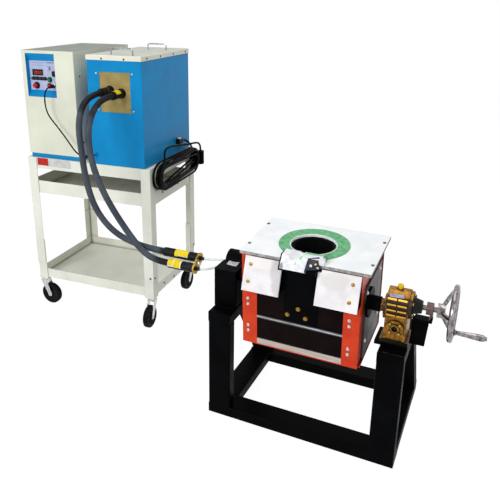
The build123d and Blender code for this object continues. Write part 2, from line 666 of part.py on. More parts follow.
# The recess narrows from the cabinet's face to the control panel
panel_x0 = recess_x0 + (recess_w - panel_w) / 2
panel_x1 = panel_x0 + panel_w
panel_z0 = recess_z + panel_low
panel_z1 = panel_z0 + panel_h
panel_y = cab_y0 + panel_deep
recess_lip = 3.0
funnel = block(recess_x0, recess_x1, cab_y0, recess_back, recess_z, recess_z1)
front_mid = ((recess_x0 + recess_x1) / 2, cab_y0 - 0.01, (recess_z + recess_z1) / 2)
back_mid = ((panel_x0 + panel_x1) / 2, panel_y, (panel_z0 + panel_z1) / 2)
front_face = Plane(origin=front_mid, x_dir=(1, 0, 0), z_dir=(0, 1, 0))
back_face = Plane(origin=back_mid, x_dir=(1, 0, 0), z_dir=(0, 1, 0))
mouth_cut = loft([
    front_face * Rectangle(recess_w - 2 * recess_lip, recess_h - 2 * recess_lip),
    back_face * Rectangle(panel_w, panel_h),
])
funnel -= mouth_cut
funnel -= block(panel_x0, panel_x1, panel_y - 0.01, panel_y + panel_t, panel_z0, panel_z1)
save(cart_at * funnel, "control_recess")

panel_floor = panel_y + panel_t
panel = block(panel_x0, panel_x1, panel_y, panel_floor, panel_z0, panel_z1)
save(cart_at * panel, "control_panel")

# Display, lamps, switch rosettes and the signal connector on the panel
knob_x, knob_z = panel_x0 + 32, panel_z0 + 19
start_x, start_z = panel_x0 + 101, panel_z0 + 46
stop_x, stop_z = panel_x0 + 98, panel_z0 + 20
plug_x, signal_z = panel_x0 + 118, panel_z0 + 20
rosette_t = 5.0
button_r = 8.0
stem_knob_r = 3.0
fittings = [block(panel_x0 + 16, panel_x0 + 68, panel_y - 4, panel_y, panel_z0 + 62, panel_z0 + 87)]
for number in range(4):
    lamp_x = panel_x0 + 12 + 19 * number
    fittings.append(rod_y(lamp_x, panel_y - 2, panel_y, panel_z0 + 48, 6))
rosette = rod_y(knob_x, panel_y - rosette_t, panel_y, knob_z, 14)
fittings.append(rosette - rod_y(knob_x, panel_y - rosette_t - 1, panel_y - 1, knob_z,
                                stem_knob_r + running_gap))
for bx, bz in ((start_x, start_z), (stop_x, stop_z)):
    collar = rod_y(bx, panel_y - rosette_t, panel_y, bz, 11)
    fittings.append(collar - rod_y(bx, panel_y - rosette_t - 1, panel_y - 0.5, bz,
                                   button_r + running_gap))
fittings.append(rod_y(panel_x0 + 101, panel_y - 5, panel_y, panel_z0 + 93, 6))
connector_l = 15.0
fittings.append(rod_y(plug_x, panel_y - connector_l, panel_y, signal_z, 8))
fittings.append(block(panel_x0 + 118, panel_x0 + 132, panel_y - 8, panel_y, panel_z0 + 60, panel_z0 + 82))
save(cart_at * Compound(fittings), "panel_fittings")

knob_front = panel_y - rosette_t - 14
knob = rod_y(knob_x, knob_front, panel_y - rosette_t - 0.3, knob_z, 9)
knob = chamfer(knob.edges().filter_by(GeomType.CIRCLE).sort_by(Axis.Y)[0], 1)
knob += rod_y(knob_x, knob_front + 2, panel_y - 1.5, knob_z, stem_knob_r)
save(cart_at * knob, "dial_knob")
button_front = panel_y - rosette_t - 4
button_back = panel_y - 3.5
for name, bx, bz in (("start_button", start_x, start_z), ("stop_button", stop_x, stop_z)):
    save(cart_at * rod_y(bx, button_front, button_back, bz, button_r), name)

# ----------------------------------------------------------- transformer box
pocket_back = cab_y0 + feed_panel_deep + feed_panel_t
feed_x0 = box_x0 + feed_panel_in
feed_x1 = feed_x0 + feed_panel_w
feed_z1 = feed_panel_z + feed_panel_h
box = block(box_x0, box_x1, cab_y0, box_y1, base_top, box_top)
box = fillet(box.edges().filter_by(Axis.Z), 3)
box -= block(feed_x0, feed_x1, cab_y0 - 1, pocket_back, feed_panel_z, feed_z1)
save(cart_at * box, "box_shell")

lid = block(box_x0 - lid_over, box_x1 + lid_over, cab_y0 - lid_over, box_y1 + lid_over, box_top,
            box_top + lid_h)
lid = fillet(lid.edges().filter_by(Axis.Z) + lid.edges().group_by(Axis.Z)[-1], 3)
save(cart_at * lid, "box_lid")

lid_top = box_top + lid_h
handle_rise = 29.0
wire_r = 3.0
handles = []
for hx0, hx1, hy in ((101, 205, 26), (116, 211, 310)):
    x0 = box_x0 + hx0 + wire_r
    x1 = box_x0 + hx1 - wire_r
    y = cab_y0 + hy
    top = lid_top + handle_rise - wire_r
    line = FilletPolyline((x0, y, lid_top), (x0, y, top), (x1, y, top), (x1, y, lid_top), radius=10)
    handles.append(sweep(Plane(origin=(x0, y, lid_top), z_dir=(0, 0, 1)) * Circle(wire_r), path=line))
save(cart_at * Compound(handles), "lid_handles")

feed_plate = block(feed_x0, feed_x1, cab_y0 + feed_panel_deep, pocket_back, feed_panel_z, feed_z1)
save(cart_at * feed_plate, "feed_panel")

# -------------------------------------------------------------------- cables
# Boots on the feed panel, the sleeved coupler at the far ends, and cable glands
boot_y1 = cab_y0 + feed_panel_deep
boot_y0 = boot_y1 - boot_l
exit_a = (box_x0 + 104, 1037.0)
exit_b = (box_x0 + 157, 1028.0)
sleeve_dir = Vector(0.9983, -0.0485, 0.033).normalized()
sleeve_end_a = Vector(17.0, -247.0, 502.0)
sleeve_side = Vector(16.0, -280.0, 475.0) - sleeve_end_a
sleeve_end_b = sleeve_end_a + sleeve_side - sleeve_dir * sleeve_side.dot(sleeve_dir)
sleeve_l_a = 145.0
sleeve_l_b = 107.0
signal_gland = (box_x0 + 22, cab_y0 - 12, deck_h + 42)
boots = []
for bx, bz in (exit_a, exit_b):
    boots.append(cart_at * rod_y(bx, boot_y0, boot_y1, bz, boot_d / 2))
boots.append(cart_at * rod_y(signal_gland[0], signal_gland[1], cab_y0, signal_gland[2], 7))
elbow_y = cab_y0 + 325
elbow_z = deck_h + 53
boots.append(cart_at * block(box_x1, box_x1 + 20, elbow_y - 28, elbow_y, elbow_z - 10, elbow_z + 12))
save(Compound(boots), "cable_boots")

clamp_t = 6.0
clamp_r = 20.0
between = sleeve_end_b - sleeve_end_a
clamp_plane = Plane(origin=(sleeve_end_a + sleeve_end_b) / 2, x_dir=between, z_dir=sleeve_dir)
coupler = extrude(clamp_plane * SlotCenterToCenter(between.length, 2 * clamp_r), clamp_t)
for end, length in ((sleeve_end_a, sleeve_l_a), (sleeve_end_b, sleeve_l_b)):
    begin = Plane(origin=end - sleeve_dir * length, z_dir=sleeve_dir)
    coupler += extrude(begin * Circle(boot_d / 2), length)
save(coupler, "cable_coupler")


def from_cart(points):
    return [tuple((cart_at * Pos(*p)).position) for p in points]


start_a = sleeve_end_a - sleeve_dir * sleeve_l_a
start_b = sleeve_end_b - sleeve_dir * sleeve_l_b
cable_a_points = from_cart([(exit_a[0], boot_y0, exit_a[1]), (exit_a[0], boot_y0 - 72, exit_a[1])])
cable_a_points += [(-501, -205, 1003), (-487, -248, 938), (-479, -250, 850), (-472, -248, 755),
                   (-451, -247, 660), (-408, -246, 585), (-341, -246, 532), (-263, -244, 508),
                   tuple(start_a - sleeve_dir * 64), tuple(start_a)]
save(cord(cable_a_points, cable_d), "cable_a")

cable_b_points = from_cart([(exit_b[0], boot_y0, exit_b[1]), (exit_b[0], boot_y0 - 72, exit_b[1])])
cable_b_points += [(-449, -202, 996), (-443, -246, 938), (-431, -264, 860), (-406, -271, 775),
                   (-367, -272, 695), (-319, -272, 622), (-251, -272, 538), (-206, -271, 493),
                   tuple(start_b - sleeve_dir * 60), tuple(start_b)]
save(cord(cable_b_points, cable_d), "cable_b")

hose_start_a = sleeve_end_a + sleeve_dir * clamp_t
hose_start_b = sleeve_end_b + sleeve_dir * clamp_t
hose_end_x = stand_x + feed_in
hose_a_points = [tuple(hose_start_a), tuple(hose_start_a + sleeve_dir * 34), (hose_end_x - 38, -245, 512),
                 (hose_end_x, -245, 512)]
save(cord(hose_a_points, hose_d), "hose_a")
hose_b_points = [tuple(hose_start_b), tuple(hose_start_b + sleeve_dir * 34), (hose_end_x - 36, -258, 492),
                 (hose_end_x, -258, 492)]
save(cord(hose_b_points, hose_d), "hose_b")

panel_exit = (plug_x, panel_y - connector_l, signal_z)
panel_cord_points = from_cart([panel_exit, (152, -19, 1038), (152, -40, 1017), (151, -43, 987),
                               (150, -40, 958), (158, -38, 927), (176, -36, 902), (203, -36, 873),
                               (232, -40, 843), (264, -48, 812), (300, -62, 782), (332, -62, 768),
                               (356, -39, 764), signal_gland])
save(cord(panel_cord_points, signal_d), "panel_cord")

# Spare mains cable in an oval hank on the cart's right side, its two ends free
hank_x0 = cart_l + 1
hank_x1 = hank_x0 + 38
hank_y0, hank_y1 = 15.0, 430.0
hank_z0, hank_z1 = shelf_z + shelf_rim + 1, deck_h + 18
hank_mid = Plane.YZ.offset(hank_x0)
hank_l = hank_y1 - hank_y0
hank_h = hank_z1 - hank_z0
hank_plan = Pos((hank_y0 + hank_y1) / 2, (hank_z0 + hank_z1) / 2)
hank_eye = 26.0
hank = extrude(hank_mid * hank_plan * SlotOverall(hank_l, hank_h), hank_x1 - hank_x0)
hank = fillet(hank.edges(), 12)
hank -= extrude(hank_mid * hank_plan * SlotOverall(hank_l - hank_h + hank_eye, hank_eye),
                hank_x1 - hank_x0)
save(cart_at * hank, "mains_hank")

lead_points = from_cart([(box_x1 + 11, elbow_y, elbow_z), (box_x1 + 11, elbow_y + 27, elbow_z), (611, 386, 759),
                         (628, 398, hank_z1 + 3)])
save(cord(lead_points, mains_d), "mains_lead")
tail_points = from_cart([(624, 84, hank_z1), (624, 84, hank_z1 + 26), (620, 104, 788), (616, 150, 790),
                         (618, 235, 784), (626, 320, 777), (634, 380, 770), (640, 428, 757),
                         (640, 455, 735), (640, 455, 705)])
save(cord(tail_points, mains_d), "mains_tail")
plug_r = 17.0
plug_body = rod_z(640, 455, 640, 705, plug_r)
plug_body = fillet(plug_body.edges().filter_by(GeomType.CIRCLE), 3)
save(cart_at * plug_body, "mains_plug")
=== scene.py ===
import bmesh
import bpy
import numpy as np
from math import cos, pi, radians, sin
from mathutils import Matrix, Vector


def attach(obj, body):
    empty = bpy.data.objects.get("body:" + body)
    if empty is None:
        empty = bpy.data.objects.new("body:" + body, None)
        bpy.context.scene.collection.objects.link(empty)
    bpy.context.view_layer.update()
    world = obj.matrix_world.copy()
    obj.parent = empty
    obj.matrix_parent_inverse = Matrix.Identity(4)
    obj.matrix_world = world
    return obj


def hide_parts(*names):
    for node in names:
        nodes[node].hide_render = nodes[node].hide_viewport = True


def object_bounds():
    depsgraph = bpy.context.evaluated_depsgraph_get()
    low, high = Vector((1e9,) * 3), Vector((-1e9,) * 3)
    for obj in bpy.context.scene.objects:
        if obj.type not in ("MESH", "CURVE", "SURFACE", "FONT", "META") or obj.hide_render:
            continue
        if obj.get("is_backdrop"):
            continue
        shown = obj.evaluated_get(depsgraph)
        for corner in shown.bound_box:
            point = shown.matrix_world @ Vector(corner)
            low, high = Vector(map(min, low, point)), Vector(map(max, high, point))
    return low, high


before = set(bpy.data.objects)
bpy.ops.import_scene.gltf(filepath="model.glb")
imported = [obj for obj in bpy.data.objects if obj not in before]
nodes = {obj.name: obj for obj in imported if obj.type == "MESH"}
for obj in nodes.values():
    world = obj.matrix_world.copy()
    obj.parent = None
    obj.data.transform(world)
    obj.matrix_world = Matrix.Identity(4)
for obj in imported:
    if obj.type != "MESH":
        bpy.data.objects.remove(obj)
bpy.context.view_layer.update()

# ---- The viewpoint
# A standing adult's eye about two metres off, looking down a little from the
# hand wheel's side; the lens is shifted to take in the cart's far corner.


def put(name, data):
    """A new object with this data, linked into the scene."""
    made = bpy.data.objects.new(name, data)
    bpy.context.scene.collection.objects.link(made)
    return made


eye = (0.9582, -2.0215, 1.3936)
heading, dip, roll = 0.4510, 0.3141, 0.0019
picture_px, focal_px, shift_px = 500, 605.35, (30.43, -55.15)
ahead = Vector((-sin(heading) * cos(dip), cos(heading) * cos(dip), -sin(dip)))
level = Vector((cos(heading), sin(heading), 0))
upward = level.cross(ahead)
across = level * cos(roll) + upward * sin(roll)
upward = upward * cos(roll) - level * sin(roll)
lens = bpy.data.cameras.new("viewpoint")
lens.sensor_width = 36
lens.lens = focal_px / picture_px * 36
lens.shift_x = shift_px[0] / picture_px
lens.shift_y = shift_px[1] / picture_px
lens.clip_end = 60
camera = put("viewpoint", lens)
axes = Matrix((across, upward, -ahead)).transposed().to_4x4()
camera.matrix_world = Matrix.Translation(eye) @ axes
bpy.context.scene.camera = camera

# ---- The two heavy feed cables
# Rubber sheathed water-cooled leads, 24 mm thick, that droop from the
# transformer box to the coupler beside the stand; the sheath is grey and dull.
cart_corner = [-0.9519, -0.0376, 0]
cart_turn = radians(4.19)
cart_axes = np.array([[cos(cart_turn), sin(cart_turn), 0],
                      [-sin(cart_turn), cos(cart_turn), 0], [0, 0, 1]])


def on_cart(points):
    """Points given in mm from the cart's front left corner, as metres in the shared frame: turned
    about the upright by the cart's turn and set at its corner."""
    return np.asarray(points, float) / 1000 @ cart_axes + cart_corner


def linear(code):
    """An sRGB hex colour as linear red, green, blue and alpha."""
    steps = [int(code[i:i + 2], 16) / 255 for i in (1, 3, 5)]
    return [c / 12.92 if c <= 0.04045 else ((c + 0.055) / 1.055) ** 2.4 for c in steps] + [1.0]


def add(tree, kind, settings, **inputs):
    """Adds one shader node: its kind and settings, then each input by name, or by number after an
    underscore: a socket to link, a node for its first socket, or a value to hold."""
    node = tree.nodes.new("ShaderNode" + kind)
    for name, value in settings.items():
        setattr(node, name, value)
    for name, value in inputs.items():
        socket = node.inputs[int(name[1:])] if name[0] == "_" else node.inputs[name.replace("_", " ")]
        value = value.outputs[0] if isinstance(value, bpy.types.Node) else value
        if isinstance(value, bpy.types.NodeSocket):
            tree.links.new(value, socket)
        else:
            socket.default_value = value
    return node


def finish(name, light, dark, patch, rough, grain=0.0, relief=0.0, metal=0.0, coat=0.0, gloss=0.14,
           stretch=(1, 1, 1), corner_shade=None):
    """A surface whose colour and roughness wander between two values over patches of the given
    size, with a finer relief and, where a corner-shade colour is given, painted shade in its narrow
    corners, mixed in by ambient occlusion; sizes in metres. Colour = dark + (light - dark) * share,
    where share goes from 0 to 1 as the noise goes from 0.35 to 0.65. The grain is the texture's real
    width, except that the enamels' orange peel, about half a millimetre, is drawn at 1.5 so that it
    shows. Gives the material and the sockets to build on."""
    material = bpy.data.materials.new(name)
    material.use_nodes = True
    tree = material.node_tree
    tree.nodes.clear()
    at = add(tree, "TexCoord", {}).outputs["Object"]
    drawn = add(tree, "Mapping", {}, Vector=at, Scale=stretch)
    cloud = add(tree, "TexNoise", {}, Vector=drawn, Scale=1 / patch, Detail=5.0, Roughness=0.6)
    blend = add(tree, "MapRange", {}, Value=cloud.outputs["Fac"], _1=0.35, _2=0.65)
    tone = add(tree, "Mix", {"data_type": "RGBA"}, _0=blend, _6=linear(dark), _7=linear(light))
    # painted shade: ambient occlusion draws the colour toward the corner-shade colour in narrow corners
    if corner_shade:
        open_sky = add(tree, "AmbientOcclusion", {"samples": 8}, Distance=0.016)
        shade_share = add(tree, "MapRange", {}, Value=open_sky.outputs["AO"], _1=0.5, _2=0.92)
        tone = add(tree, "Mix", {"data_type": "RGBA"}, _0=shade_share, _6=linear(corner_shade),
                   _7=tone.outputs[2])
    dull = add(tree, "MapRange", {}, Value=cloud.outputs["Fac"], _1=0.3, _2=0.7, _3=rough[0], _4=rough[1])
    shader = add(tree, "BsdfPrincipled", {}, Base_Color=tone.outputs[2], Roughness=dull,
                 Metallic=metal, Coat_Weight=coat, Specular_IOR_Level=0.5 if metal else gloss)
    if grain:
        fine = add(tree, "TexNoise", {}, Vector=at, Scale=1 / grain, Detail=3.0)
        bump = add(tree, "Bump", {}, Height=fine.outputs["Fac"], Distance=relief, Strength=0.6)
        tree.links.new(bump.outputs[0], shader.inputs["Normal"])
    add(tree, "OutputMaterial", {}, Surface=shader)
    return {"material": material, "tree": tree, "at": at, "cloud": cloud.outputs["Fac"],
            "tone": tone.outputs[2], "shader": shader}


def stain(look, spot, reach, colour, most=1.0):
    """Tints a material round a spot in metres: the distance to it, divided by the reach along each
    axis and made ragged by the material's own noise, fades the tint out at the edge."""
    tree = look["tree"]
    away = add(tree, "VectorMath", {"operation": "SUBTRACT"}, _0=look["at"], _1=tuple(spot))
    away = add(tree, "VectorMath", {"operation": "DIVIDE"}, _0=away, _1=tuple(reach))
    away = add(tree, "VectorMath", {"operation": "LENGTH"}, _0=away)
    ragged = add(tree, "Math", {"operation": "ADD"}, _0=away.outputs["Value"], _1=look["cloud"])
    fade = add(tree, "MapRange", {}, Value=ragged, _1=1.3, _2=1.65, _3=most, _4=0.0)
    tinted = add(tree, "Mix", {"data_type": "RGBA"}, _0=fade, _6=look["tone"], _7=linear(colour))
    look["tone"] = tinted.outputs[2]
    tree.links.new(look["tone"], look["shader"].inputs["Base Color"])


def route(name, points, thickness, look, sides=5):
    """A round cord on one smooth spline whose control points are the given points, in metres."""
    line = bpy.data.curves.new(name, "CURVE")
    line.dimensions = "3D"
    line.bevel_depth = thickness / 2
    line.bevel_resolution = sides
    line.resolution_u = 8
    line.use_fill_caps = True
    run = line.splines.new("NURBS")
    run.points.add(len(points) - 1)
    run.points.foreach_set("co", np.hstack([points, np.ones((len(points), 1))]).ravel())
    run.order_u = 3
    run.use_endpoint_u = True
    line.materials.append(look["material"])
    cord = put(name, line)
    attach(cord, "base")
    return cord


# Extruded rubber sheath: dark slate grey with a faint bloom, under black heat-shrink near both ends.
sheath = finish("rubber_sheath", "#4a505a", "#343a43", 0.06, (0.45, 0.62), 0.002, 0.0003)
stain(sheath, (-0.47, -0.12, 1.06), (0.16, 0.14, 0.1), "#141519")
stain(sheath, (-0.07, -0.26, 0.5), (0.08, 0.09, 0.08), "#141519")
# The sleeves' common line and their far ends in mm; the two lie side by side, square to that line.
far_way = np.array([0.9983, -0.0485, 0.033])
far_way = far_way / np.linalg.norm(far_way)
far_a = np.array([17.0, -247.0, 502.0])
side_way = np.array([16.0, -280.0, 475.0]) - far_a
far_b = far_a + side_way - far_way * (side_way @ far_way)
sleeve_a, sleeve_b = 145, 107
begin_a = far_a - far_way * sleeve_a
begin_b = far_b - far_way * sleeve_b
drop_a = np.vstack([on_cart([(438, -63, 1037), (438, -135, 1037)]),
                    np.array([(-501, -205, 1003), (-487, -248, 938), (-479, -250, 850), (-472, -248, 755),
                              (-451, -247, 660), (-408, -246, 585), (-341, -246, 532), (-263, -244, 508),
                              begin_a - far_way * 64, begin_a]) / 1000])
drop_b = np.vstack([on_cart([(491, -63, 1028), (491, -135, 1028)]),
                    np.array([(-449, -202, 996), (-443, -246, 938), (-431, -264, 860), (-406, -271, 775),
                              (-367, -272, 695), (-319, -272, 622), (-251, -272, 538), (-206, -271, 493),
                              begin_b - far_way * 60, begin_b]) / 1000])
for label, run, reach, end, held in (("cable_a", drop_a, 0.888, "fitting", [nodes["cable_coupler"]]),
                                     ("cable_b", drop_b, 0.851, "object", [])):
    cable = route("feed_" + label, run, 0.024, sheath, 8)
    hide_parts(label)

# ---- The clear water hoses
# Soft PVC tube, 9 mm, that carries cooling water from the coupler into the
# round housing behind the stand's left post.

# Extruded clear PVC: milky and smooth, with a wet-looking shine.
clear_pvc = finish("clear_pvc_hose", "#e9edec", "#c9d0d0", 0.03, (0.12, 0.25), coat=0.4)
hose_from_a = far_a + far_way * 6
hose_from_b = far_b + far_way * 6
hose_a_run = np.array([hose_from_a, hose_from_a + far_way * 34, (101.4, -245, 512),
                       (139.4, -245, 512)]) / 1000
hose_b_run = np.array([hose_from_b, hose_from_b + far_way * 34, (103.4, -258, 492),
                       (139.4, -258, 492)]) / 1000
for label, run, reach in (("hose_a", hose_a_run, 0.117), ("hose_b", hose_b_run, 0.124)):
    hose = route("water_" + label, run, 0.009, clear_pvc)
    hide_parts(label)

# ---- The signal cord
# A thin black PVC lead that plugs into the control panel, hangs in a shallow
# curve past the cabinet and enters a gland low on the transformer box.

# Extruded PVC: deep black, with one soft line of shine along it.
black_pvc = finish("black_pvc_cord", "#060607", "#030304", 0.04, (0.2, 0.34), gloss=0.03)
signal_run = on_cart([(152, 10, 1038), (152, -19, 1038), (152, -40, 1017), (151, -43, 987), (150, -40, 958),
                      (158, -38, 927), (176, -36, 902), (203, -36, 873), (232, -40, 843), (264, -48, 812),
                      (300, -62, 782), (332, -62, 768), (356, -39, 764), (356, -7, 764)])
signal = route("signal_cord", signal_run, 0.006, black_pvc)
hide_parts("panel_cord")

# ---- The mains cable and its hank
# Glossy black PVC cable, 9 mm: out of the elbow on the box's side, ten oval
# turns laid in four layers on the cart's right side, then back to its plug.
hank_middle = np.array([630.0, 222.5, 678.0])
# One row a turn: place across the hank, then radius, rise and reach of its near and its far bend.
bends = np.array([(-14.5, 57, 0, -146, 56, 0, 146), (-14.5, 44, 2, -147, 31, 22, 160),
                  (-4.8, 37, -1, -147, 33, -18, 158), (-4.8, 47, 0, -146, 44, -7, 152),
                  (-4.8, 57, 0, -145, 55, 2, 147), (4.8, 57, 0, -146, 52, 4, 149),
                  (4.8, 41, -2, -142, 30, 20, 157), (14.5, 36, 1, -148, 31, -4, 158),
                  (14.5, 47, 0, -146, 44, 3, 152), (14.5, 57, 0, -146, 56, 0, 146)])
round_bend = np.radians([75, 45, 15, -15, -45, -75])
turns = []
for number, (side, near_r, near_up, near_at, far_r, far_up, far_at) in enumerate(bends):
    # round the far bend, along the bottom, leaning over to the next turn's place, round the near bend
    following = bends[min(number + 1, len(bends) - 1), 0]
    share = np.clip((np.arange(17) - 7) / 3, 0, 1)
    # the straight runs begin 0.26 of the radius inside each bend's middle
    near_run, far_run = near_at + 0.26 * near_r, far_at - 0.26 * far_r
    y = np.concatenate([[far_run], far_at + far_r * np.cos(round_bend), [far_run, 0, near_run],
                        near_at - near_r * np.cos(round_bend), [near_run]])
    z = np.concatenate([[far_up + far_r], far_up + far_r * np.sin(round_bend),
                        [far_up - far_r, (far_up - far_r + near_up - near_r) / 2, near_up - near_r],
                        near_up - near_r * np.sin(round_bend), [near_up + near_r]])
    turns.append(np.stack([side + (following - side) * share, y, z], -1) + hank_middle)
# the lead comes in at the tip of the first far bend, and the tail leaves from the last near bend
wound = np.concatenate(turns)[3:-1]
lead = np.array([(597, 330, 775), (597, 357, 775), (604, 381, 765), (612, 403, 744),
                 (615.5, 417, 720)], float)
tail = np.array([(638, 83, 742), (631, 97, 758), (624, 113, 774), (620, 141, 784), (620, 200, 781),
                 (624, 270, 769), (630, 335, 760), (637, 390, 755), (640, 427, 749), (640, 447, 736),
                 (640, 455, 720), (640, 455, 705)], float)
mains_run = on_cart(np.vstack([lead, wound, tail]))
mains = route("mains_cable", mains_run, 0.009, black_pvc, 4)
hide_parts("mains_lead", "mains_hank", "mains_tail")

# ---- Floor, backdrop and lamps
# A seamless white studio: the floor is white to the eye but keeps a soft
# shadow; a large key lamp stands front left, with weaker lamps right and above.
sky = bpy.data.worlds.new("studio")
sky.use_nodes = True
bpy.context.scene.world = sky
air = sky.node_tree
air.nodes.clear()
ray = add(air, "LightPath", {})
seen = add(air, "Math", {"operation": "MAXIMUM"}, _0=ray.outputs["Is Camera Ray"],
           _1=ray.outputs["Is Transmission Ray"])
seen = add(air, "Math", {"operation": "MAXIMUM"}, _0=seen, _1=ray.outputs["Is Glossy Ray"])
# white to the eye, in gloss and through glass, and 0.4 of that as light on the object
strength = add(air, "MapRange", {}, Value=seen, _3=0.40, _4=1.0)
glow = add(air, "Background", {}, Color=(1, 1, 1, 1), Strength=strength)
add(air, "OutputWorld", {}, Surface=glow)
ground = bpy.data.meshes.new("studio_floor")
ground.from_pydata([(x, y, -0.0005) for x, y in ((-9, -9), (9, -9), (9, 9), (-9, 9))], [], [(0, 1, 2, 3)])
floor = put("studio_floor", ground)
floor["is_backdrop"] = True
# Matt white paper: an even white to the eye and in gloss, and a plain pale floor to everything else.
paper = bpy.data.materials.new("white_paper")
paper.use_nodes = True
tree = paper.node_tree
tree.nodes.clear()
ray = add(tree, "LightPath", {})
seen = add(tree, "Math", {"operation": "MAXIMUM"}, _0=ray.outputs["Is Camera Ray"],
           _1=ray.outputs["Is Glossy Ray"])
share = add(tree, "Math", {"operation": "MULTIPLY"}, _0=seen, _1=0.84)
matt = add(tree, "BsdfDiffuse", {}, Color=(0.86, 0.86, 0.86, 1))
white = add(tree, "Emission", {}, Color=(1, 1, 1, 1), Strength=1.13)
both = add(tree, "MixShader", {}, _0=share, _1=matt, _2=white)
add(tree, "OutputMaterial", {}, Surface=both)
ground.materials.append(paper)
# each lamp's name, place, width in metres and watts
for label, spot, wide, power in (("key", (-0.9, -3.6, 2.4), 1.5, 84), ("fill", (2.8, -2.0, 1.9), 2.2, 12),
                                 ("top", (0.3, 0.2, 3.6), 2.6, 40)):
    lamp = bpy.data.lights.new(label, "AREA")
    lamp.size = wide
    lamp.energy = power
    lamp_object = put(label, lamp)
    lamp_object.location = spot
    lamp_object.rotation_euler = (Vector((0, 0, 0.6)) - Vector(spot)).to_track_quat("-Z", "Y").to_euler()
bpy.context.scene.view_settings.view_transform = "Standard"

# ---- Coupler sleeves and brass clamp
# Two black heat-shrink sleeves over the cable ends, held side by side by a
# brass clamp whose nut faces the hoses; yellow labels are wrapped on the sleeves.


def finish_node(name, *choices):
    """Gives a CAD node its materials: the first for all faces, each later one for the faces its
    rule picks; a rule takes the face middles (metres) and normals and returns true or false."""
    mesh = nodes[name].data
    mesh.materials.clear()
    count = len(mesh.polygons)
    middle = np.empty(count * 3)
    facing = np.empty(count * 3)
    mesh.polygons.foreach_get("center", middle)
    mesh.polygons.foreach_get("normal", facing)
    index = np.zeros(count, np.int32)
    for number, choice in enumerate(choices):
        look, rule = choice if isinstance(choice, tuple) else (choice, None)
        mesh.materials.append(look["material"])
        if rule is not None:
            index[rule(middle.reshape(-1, 3), facing.reshape(-1, 3))] = number
    mesh.polygons.foreach_set("material_index", index)
    mesh.update()


def surface(points):
    """Quads over an (n, m, 3) array of points, joined round the second axis."""
    n, m = points.shape[:2]
    rows = np.arange(n - 1)[:, None]
    columns = np.arange(m)[None, :]
    following = (columns + 1) % m
    faces = np.stack([rows * m + columns, rows * m + following, (rows + 1) * m + following,
                      (rows + 1) * m + columns], -1)
    return points.reshape(-1, 3), faces.reshape(-1, 4)


def square_to(toward):
    """The unit direction d and two more square to it, so that (b, c, d) are three axes."""
    d = np.asarray(toward, float) / np.linalg.norm(toward)
    b = np.cross(d, [0.0, 0.0, 1.0] if abs(d[2]) < 0.9 else [1.0, 0.0, 0.0])
    b = b / np.linalg.norm(b)
    return b, np.cross(d, b), d


def revolve(outline, start, toward, around=32):
    """An outline of (radius, distance) pairs turned about the line from start toward a direction:
    p(i, t) = start + distance_i * d + radius_i * (cos t * b + sin t * c). Points and sizes in mm."""
    outline = np.asarray(outline, float)
    b, c, d = square_to(toward)
    t = np.linspace(0, 2 * pi, around, endpoint=False)
    ring = np.cos(t)[:, None] * b + np.sin(t)[:, None] * c
    points = np.asarray(start, float) + outline[:, 1, None, None] * d + outline[:, 0, None, None] * ring
    return surface(points)


def piece(name, parts, look, body, place=None, also=()):
    """One object from several (points, faces) parts in mm, placed in the shared frame; seams and
    poles are merged, normals face outward and edges over 35 degrees stay sharp. A part may carry a
    material number as its third entry."""
    mesh = bpy.data.meshes.new(name)
    points, faces, looks, offset = [], [], [], 0
    for part in parts:
        points.append(part[0])
        faces.extend((np.asarray(part[1]) + offset).tolist())
        looks.extend([part[2] if len(part) > 2 else 0] * len(part[1]))
        offset += len(part[0])
    points = np.vstack(points)
    mesh.from_pydata((place(points) if place else points / 1000).tolist(), [], faces)
    for each in (look, *also):
        mesh.materials.append(each["material"])
    mesh.polygons.foreach_set("material_index", np.array(looks, np.int32))
    work = bmesh.new()
    work.from_mesh(mesh)
    bmesh.ops.remove_doubles(work, verts=work.verts, dist=1e-6)
    bmesh.ops.dissolve_degenerate(work, edges=work.edges, dist=1e-7)
    bmesh.ops.holes_fill(work, edges=[e for e in work.edges if e.is_boundary])
    bmesh.ops.recalc_face_normals(work, faces=work.faces)
    work.to_mesh(mesh)
    work.free()
    mesh.shade_smooth()
    mesh.set_sharp_from_angle(angle=radians(35))
    made = put(name, mesh)
    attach(made, body)
    return made


def wrap_label(start, toward, radius, wide, middle, half, number=0):
    """A label half a millimetre thick, wrapped part way round a cord: its outline swept `half`
    degrees to each side of the direction `middle`: p(t, k) = start + w_k * d + r_k * u(t)."""
    d = np.asarray(toward, float) / np.linalg.norm(toward)
    b = middle - d * (np.asarray(middle, float) @ d)
    b = b / np.linalg.norm(b)
    c = np.cross(d, b)
    t = np.radians(np.linspace(-half, half, 15))[:, None, None]
    corner = np.array([(radius - 0.3, 0), (radius + 0.5, 0), (radius + 0.5, wide), (radius - 0.3, wide)])
    u = np.cos(t) * b + np.sin(t) * c
    points = np.asarray(start, float) + corner[None, :, 1:] * d + corner[None, :, :1] * u
    return *surface(points), number


def heads(places, across, high, washer=0.0, around=6):
    """Bolt heads at rows of (point, direction): a six-sided outline, or a rounder one for a screw,
    with a bevelled crown, on a round washer when its radius is given. Sizes in mm."""
    parts = []
    for point, toward in places:
        r = across / 2 / cos(pi / around)
        if washer:
            rim = [(0, -0.3), (washer, -0.3), (washer, 1.0), (washer - 0.4, 1.3), (0, 1.3)]
            parts.append(revolve(rim, point, toward, 20))
        crown = [(0, -0.3), (r, -0.3), (r, high * 0.7), (r * 0.93, high * 0.86), (r * 0.78, high), (0, high)]
        parts.append(revolve(crown, point, toward, around))
    return parts


# Shrunk plastic sleeve: near black and dull, faintly wrinkled.
shrink = finish("heat_shrink_sleeve", "#1c1e22", "#0b0c0e", 0.03, (0.35, 0.55), 0.004, 0.0004)
